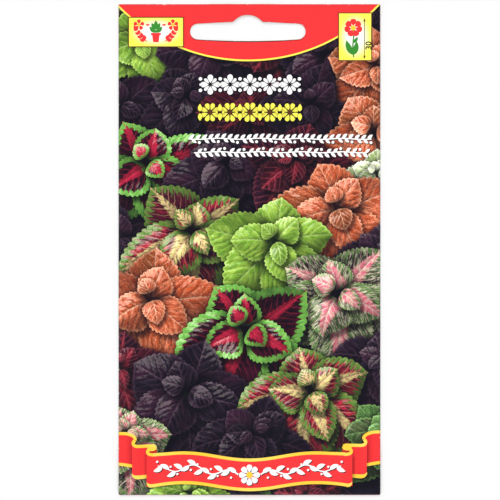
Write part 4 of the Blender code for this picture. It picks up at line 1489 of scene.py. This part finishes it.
INKS = {
    "ink_red": flat_ink("print_red", (253, 56, 59), dark=linear(110, 10, 20)),
    "ink_yellow": flat_ink("print_yellow", (252, 243, 92), (255, 253, 248), dark=linear(90, 60, 0)),
    "ink_gold": flat_ink("print_gold", (255, 205, 62), (255, 224, 104), dark=linear(120, 60, 0)),
    "ink_white": flat_ink("print_white", (255, 254, 253), dark=linear(90, 90, 100)),
    "ink_black": flat_ink("print_black", (14, 10, 22)),
    # a print brown, also used for the painted shadow line along the slot's lower cut
    "ink_brown": flat_ink("print_brown_and_slot_shadow", (96, 52, 30)),
    "ink_green": flat_ink("print_green", (60, 142, 52)),
    "ink_blue": flat_ink("print_blue", (70, 150, 215)),
    "ink_grey": flat_ink("print_grey", (112, 112, 118)),
    "ink_gap": flat_ink("print_gap", (22, 19, 34)),
    "paper_back": flat_ink("print_ground", (250, 247, 234)),
    "leaf_lime": leaf_ink("leaf_lime", (134, 186, 60), (182, 222, 88), (200, 238, 118), (120, 168, 56), (208, 238, 140), (82, 132, 48),
                          fleck_share=0.3, fleck_scale=0.5, quilt=0.38, vein_share=0.35, net=0.24, sheen=0.3, dark=linear(14, 28, 18), drift=(112, 156, 50)),
    "leaf_moss": leaf_ink("leaf_moss", (66, 112, 56), (112, 164, 84), (140, 192, 108), (60, 96, 48), (152, 192, 118), (38, 68, 42),
                          fleck_share=0.4, quilt=0.35, vein_share=0.3, net=0.28, dark=linear(11, 18, 20), drift=(78, 50, 56)),
    "leaf_wine": leaf_ink("leaf_wine", (58, 17, 33), (104, 32, 50), (112, 54, 66), (158, 40, 60), (190, 84, 98), (32, 11, 27),
                          heart_mm=1.6, fleck_share=0.5, quilt=0.42, vein_share=0.5, net=0.32, sheen=0.14, drift=(58, 28, 52)),
    "leaf_ink": leaf_ink("leaf_ink", (20, 14, 31), (44, 33, 51), (74, 55, 74), (38, 22, 42), (90, 66, 84), (12, 10, 24),
                         fleck_share=0.4, quilt=0.4, vein_share=0.35, net=0.3, sheen=0.08, dark=linear(8, 7, 20), drift=(64, 32, 56)),
    "leaf_ember": leaf_ink("leaf_ember", (214, 92, 50), (250, 138, 98), (255, 178, 138), (240, 120, 86), (255, 190, 156), (136, 66, 36),
                           fleck_share=0.5, fleck_scale=1.1, quilt=0.36, vein_share=0.4, net=0.5, sheen=0.25, dark=linear(30, 14, 22), drift=(146, 80, 42)),
    "leaf_frame": leaf_ink("leaf_frame", (24, 8, 25), (50, 13, 35), (120, 192, 84), (190, 34, 66), (196, 50, 74), (112, 26, 52),
                           margin=1.7, ragged=1.5, heart_mm=2.2, fleck_share=0.3, quilt=0.32, vein_share=0.4, net=0.25, sheen=0.25, drift=(70, 20, 46)),
    "leaf_flame": leaf_ink("leaf_flame", (92, 18, 40), (206, 50, 74), (104, 142, 62), (252, 230, 152), (246, 190, 150), (52, 20, 40),
                           margin=1.5, ragged=2.8, heart_mm=2.6, fleck_share=0.7, fleck_scale=0.7, quilt=0.3, vein_share=0.45, net=0.25, sheen=0.25,
                           rough_edge=0.7, drift=(72, 24, 46)),
    "leaf_mosaic": leaf_ink("leaf_mosaic", (92, 128, 66), (36, 25, 41), (104, 144, 76), (240, 120, 142), (246, 208, 192), (240, 236, 200),
                            margin=0.9, ragged=3.0, heart_mm=3.4, fleck_share=0.62, fleck_scale=0.95, quilt=0.25, vein_share=0.6, net=0.3, sheen=0.2,
                            rough_edge=0.9, drift=(52, 36, 50), flecks_last=True),
    "leaf_cream": leaf_ink("leaf_cream", (238, 240, 206), (206, 224, 150), (250, 250, 232), (176, 206, 120), (250, 250, 236), (116, 160, 84),
                           fleck_share=0.7, fleck_scale=1.2, quilt=0.4, vein_share=0.4, net=0.3, sheen=0.3, dark=linear(24, 34, 26), drift=(168, 192, 110)),
}


def paper_inside():
    n = Nodes("paper_inside")
    mm = n.millimetres()
    tone = n.mix(n.noise(mm, 1.3, 4.0, 0.65), linear(232, 228, 216), linear(248, 246, 238))
    height = n.noise(mm, 4.0, 4.0, 0.7)
    return n.finish(tone, n.ease(height, 0.2, 0.8, 0.72, 0.9), height, 0.4, 0.00005, specular_ior_level=0.3)


def paper_core():
    n = Nodes("paper_core")
    mm = n.millimetres()
    tone = n.mix(n.noise(mm, 6.0, 3.0, 0.7), linear(226, 222, 212), linear(252, 251, 247))
    height = n.noise(mm, 9.0, 3.0, 0.7)
    return n.finish(tone, n.ease(height, 0.2, 0.8, 0.75, 0.92), height, 0.5, 0.00004, specular_ior_level=0.25)


INKS["paper_inside"] = paper_inside()
INKS["paper_core"] = paper_core()


def dry_glue():
    n = Nodes("dry_glue")
    mm = n.millimetres()
    tone = n.mix(n.noise(mm, 0.7, 4.0, 0.6), linear(214, 196, 150), linear(238, 228, 196))
    height = n.noise(mm, 1.6, 4.0, 0.6, 0.6)
    return n.finish(tone, n.ease(height, 0.3, 0.7, 0.3, 0.6), height, 0.5, 0.00006, specular_ior_level=0.4)


def sachet_film():
    n = Nodes("sachet_film")
    mm = n.millimetres()
    creases = n.cells(mm, 0.28, "DISTANCE_TO_EDGE")
    seal = n.new("ShaderNodeTexWave", wave_type="BANDS", bands_direction="DIAGONAL")
    n.put(seal.inputs["Vector"], mm)
    seal.inputs["Scale"].default_value = 1.2
    tone = n.mix(n.noise(mm, 0.3, 3.0), linear(206, 208, 212), linear(232, 233, 236))
    height = n.math("ADD", n.ease(creases, 0.0, 0.5), n.math("MULTIPLY", n.noise(mm, 0.9, 4.0, 0.6), 0.7))
    height = n.math("ADD", height, n.math("MULTIPLY", seal.outputs["Fac"], 0.1))
    return n.finish(tone, n.ease(n.noise(mm, 1.5, 3.0), 0.3, 0.7, 0.16, 0.32), height, 0.5, 0.00025, metallic=0.85)


def seed_coat():
    n = Nodes("seed_coat")
    mm = n.millimetres()
    tone = n.mix(n.ease(n.noise(mm, 3.2, 4.0, 0.6), 0.4, 0.62), linear(44, 30, 22), linear(112, 80, 54))
    pits = n.cells(mm, 7.0)
    tone = n.mix(n.ease(pits, 0.05, 0.35, 0.5, 0.0), tone, linear(24, 16, 12))
    return n.finish(tone, n.ease(pits, 0.0, 0.5, 0.55, 0.35), pits, 0.5, 0.00008, specular_ior_level=0.4)


def floor_paint():
    n = Nodes("studio_floor")
    mm = n.millimetres()
    tone = n.mix(n.noise(mm, 0.02, 2.0), (0.842, 0.842, 0.842, 1), (0.856, 0.856, 0.856, 1))
    height = n.noise(mm, 1.5, 3.0, 0.6)
    return n.finish(tone, n.ease(height, 0.2, 0.8, 0.75, 0.9), height, 0.05, 0.00003, specular_ior_level=0.2)


# ---------------------------------------------------------------- the pieces
def rectangle(x0, x1, y0, y1):
    return box(x0, y0, x1, y1, EDGE_STEP)


CORNER = [(39.7, -75.0), (39.78, -74.86), (40.0, -74.62)]
front_edge = resampled(CORNER + [(40.0, 75.0), (-40.0, 75.0)] + [(-x, y) for x, y in reversed(CORNER)], EDGE_STEP)
front_art = [Shape([box(-42, -77, 42, 77, 2.0)], "ink_gap")] + front_shapes()
back_art = [Shape([box(-42, -77, 42, 77, 2.0)], "ink_gap")] + back_shapes(front_art[1:])
flap_art = [Shape([box(-42, -77, 42, -60, 2.0)], "ink_red")] + flap_shapes()


def taper(y):
    return FLAP_HALF * (1 - FLAP_TAPER * (y + HALF_H) / (FLAP_TOP + HALF_H))


flap_edge = resampled([(-FLAP_HALF, -75.0), (FLAP_HALF, -75.0), (taper(FLAP_TOP), FLAP_TOP + 0.0), (-taper(FLAP_TOP), FLAP_TOP + 0.0)], EDGE_STEP)

front_panel = lay("front_panel", [front_edge, SLOT[::-1]], front_art, front_top, front_normal, True, 0.47, 5, folds=(-1, 1, 0))
outer_panel = lay("back_panel_outer", [rectangle(-LAP, 40.0, BACK_END, 75.0), slot_outline(shift=0.14)[::-1]], back_art,
                  outer_face, under_normal(outer_face), False, 0.95, 6, folds=(1,))
inner_panel = lay("back_panel_inner", [rectangle(-40.0, LAP, BACK_END, 75.0), slot_outline(shift=-0.1)[::-1]], back_art,
                  inner_face, under_normal(inner_face), False, 0.95, 7, folds=(-1,))
bottom_flap = lay("bottom_flap", [flap_edge], flap_art, flap_face, under_normal(flap_face), False, 0.95, 8, folds=(0,))

for piece in (front_panel, outer_panel, inner_panel, bottom_flap):
    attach(piece, "root")
    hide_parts("envelope")


def give(node, material):
    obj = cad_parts[node]
    for slot in obj.material_slots:
        slot.material = material


glue, film, coat = dry_glue(), sachet_film(), seed_coat()
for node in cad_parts:
    if "glue" in node:
        give(node, glue)
    elif node.startswith("sachet"):
        give(node, film)
    elif node.startswith("seed"):
        give(node, coat)

# ---------------------------------------------------------------- studio
floor_mesh = bpy.data.meshes.new("studio_floor")
floor_mesh.from_pydata([(-3, -3, 0), (3, -3, 0), (3, 3, 0), (-3, 3, 0)], [], [(0, 1, 2, 3)])
floor = bpy.data.objects.new("studio_floor", floor_mesh)
floor_mesh.materials.append(floor_paint())
floor.location.z = -0.00002
bpy.context.scene.collection.objects.link(floor)

world = bpy.data.worlds.new("studio_sky")
bpy.context.scene.world = world
world.use_nodes = True
tree = world.node_tree
tree.nodes.clear()
direction = tree.nodes.new("ShaderNodeTexCoord")
split = tree.nodes.new("ShaderNodeSeparateXYZ")
tree.links.new(direction.outputs["Generated"], split.inputs[0])
fall = tree.nodes.new("ShaderNodeMapRange")
fall.interpolation_type = "SMOOTHSTEP"
for key, value in (("From Min", 0.03), ("From Max", 0.5), ("To Min", 1.0), ("To Max", 0.42)):
    fall.inputs[key].default_value = value
tree.links.new(split.outputs[2], fall.inputs["Value"])
background = tree.nodes.new("ShaderNodeBackground")
background.inputs["Color"].default_value = (1.0, 1.0, 1.0, 1.0)
tree.links.new(fall.outputs[0], background.inputs["Strength"])
tree.links.new(background.outputs[0], tree.nodes.new("ShaderNodeOutputWorld").inputs[0])


def soft_light(name, around, above, spread, strength):
    """A wide even light from a compass direction (0 along +X) and a height, in degrees."""
    data = bpy.data.lights.new(name, "SUN")
    data.angle = math.radians(spread)
    data.energy = strength
    obj = bpy.data.objects.new(name, data)
    a, h = math.radians(around), math.radians(above)
    place = Vector((math.cos(a) * math.cos(h), math.sin(a) * math.cos(h), math.sin(h)))
    obj.location = place
    obj.rotation_euler = (-place).to_track_quat("-Z", "Y").to_euler()
    bpy.context.scene.collection.objects.link(obj)


soft_light("soft_key", 110, 44, 34, 1.06)
soft_light("soft_right", 15, 48, 40, 0.74)
soft_light("soft_left", 195, 48, 40, 0.7)
soft_light("soft_front", 285, 52, 40, 0.56)

camera_data = bpy.data.cameras.new("photo_camera")
camera_data.lens = 135
camera_data.sensor_width = 36
camera_data.clip_start = 0.01
camera = bpy.data.objects.new("photo_camera", camera_data)
camera.location = (0.00017, -0.00012, 0.0004 + 0.15285 * 135 / 36)
bpy.context.scene.collection.objects.link(camera)
bpy.context.scene.camera = camera
bpy.context.scene.view_settings.view_transform = "Standard"
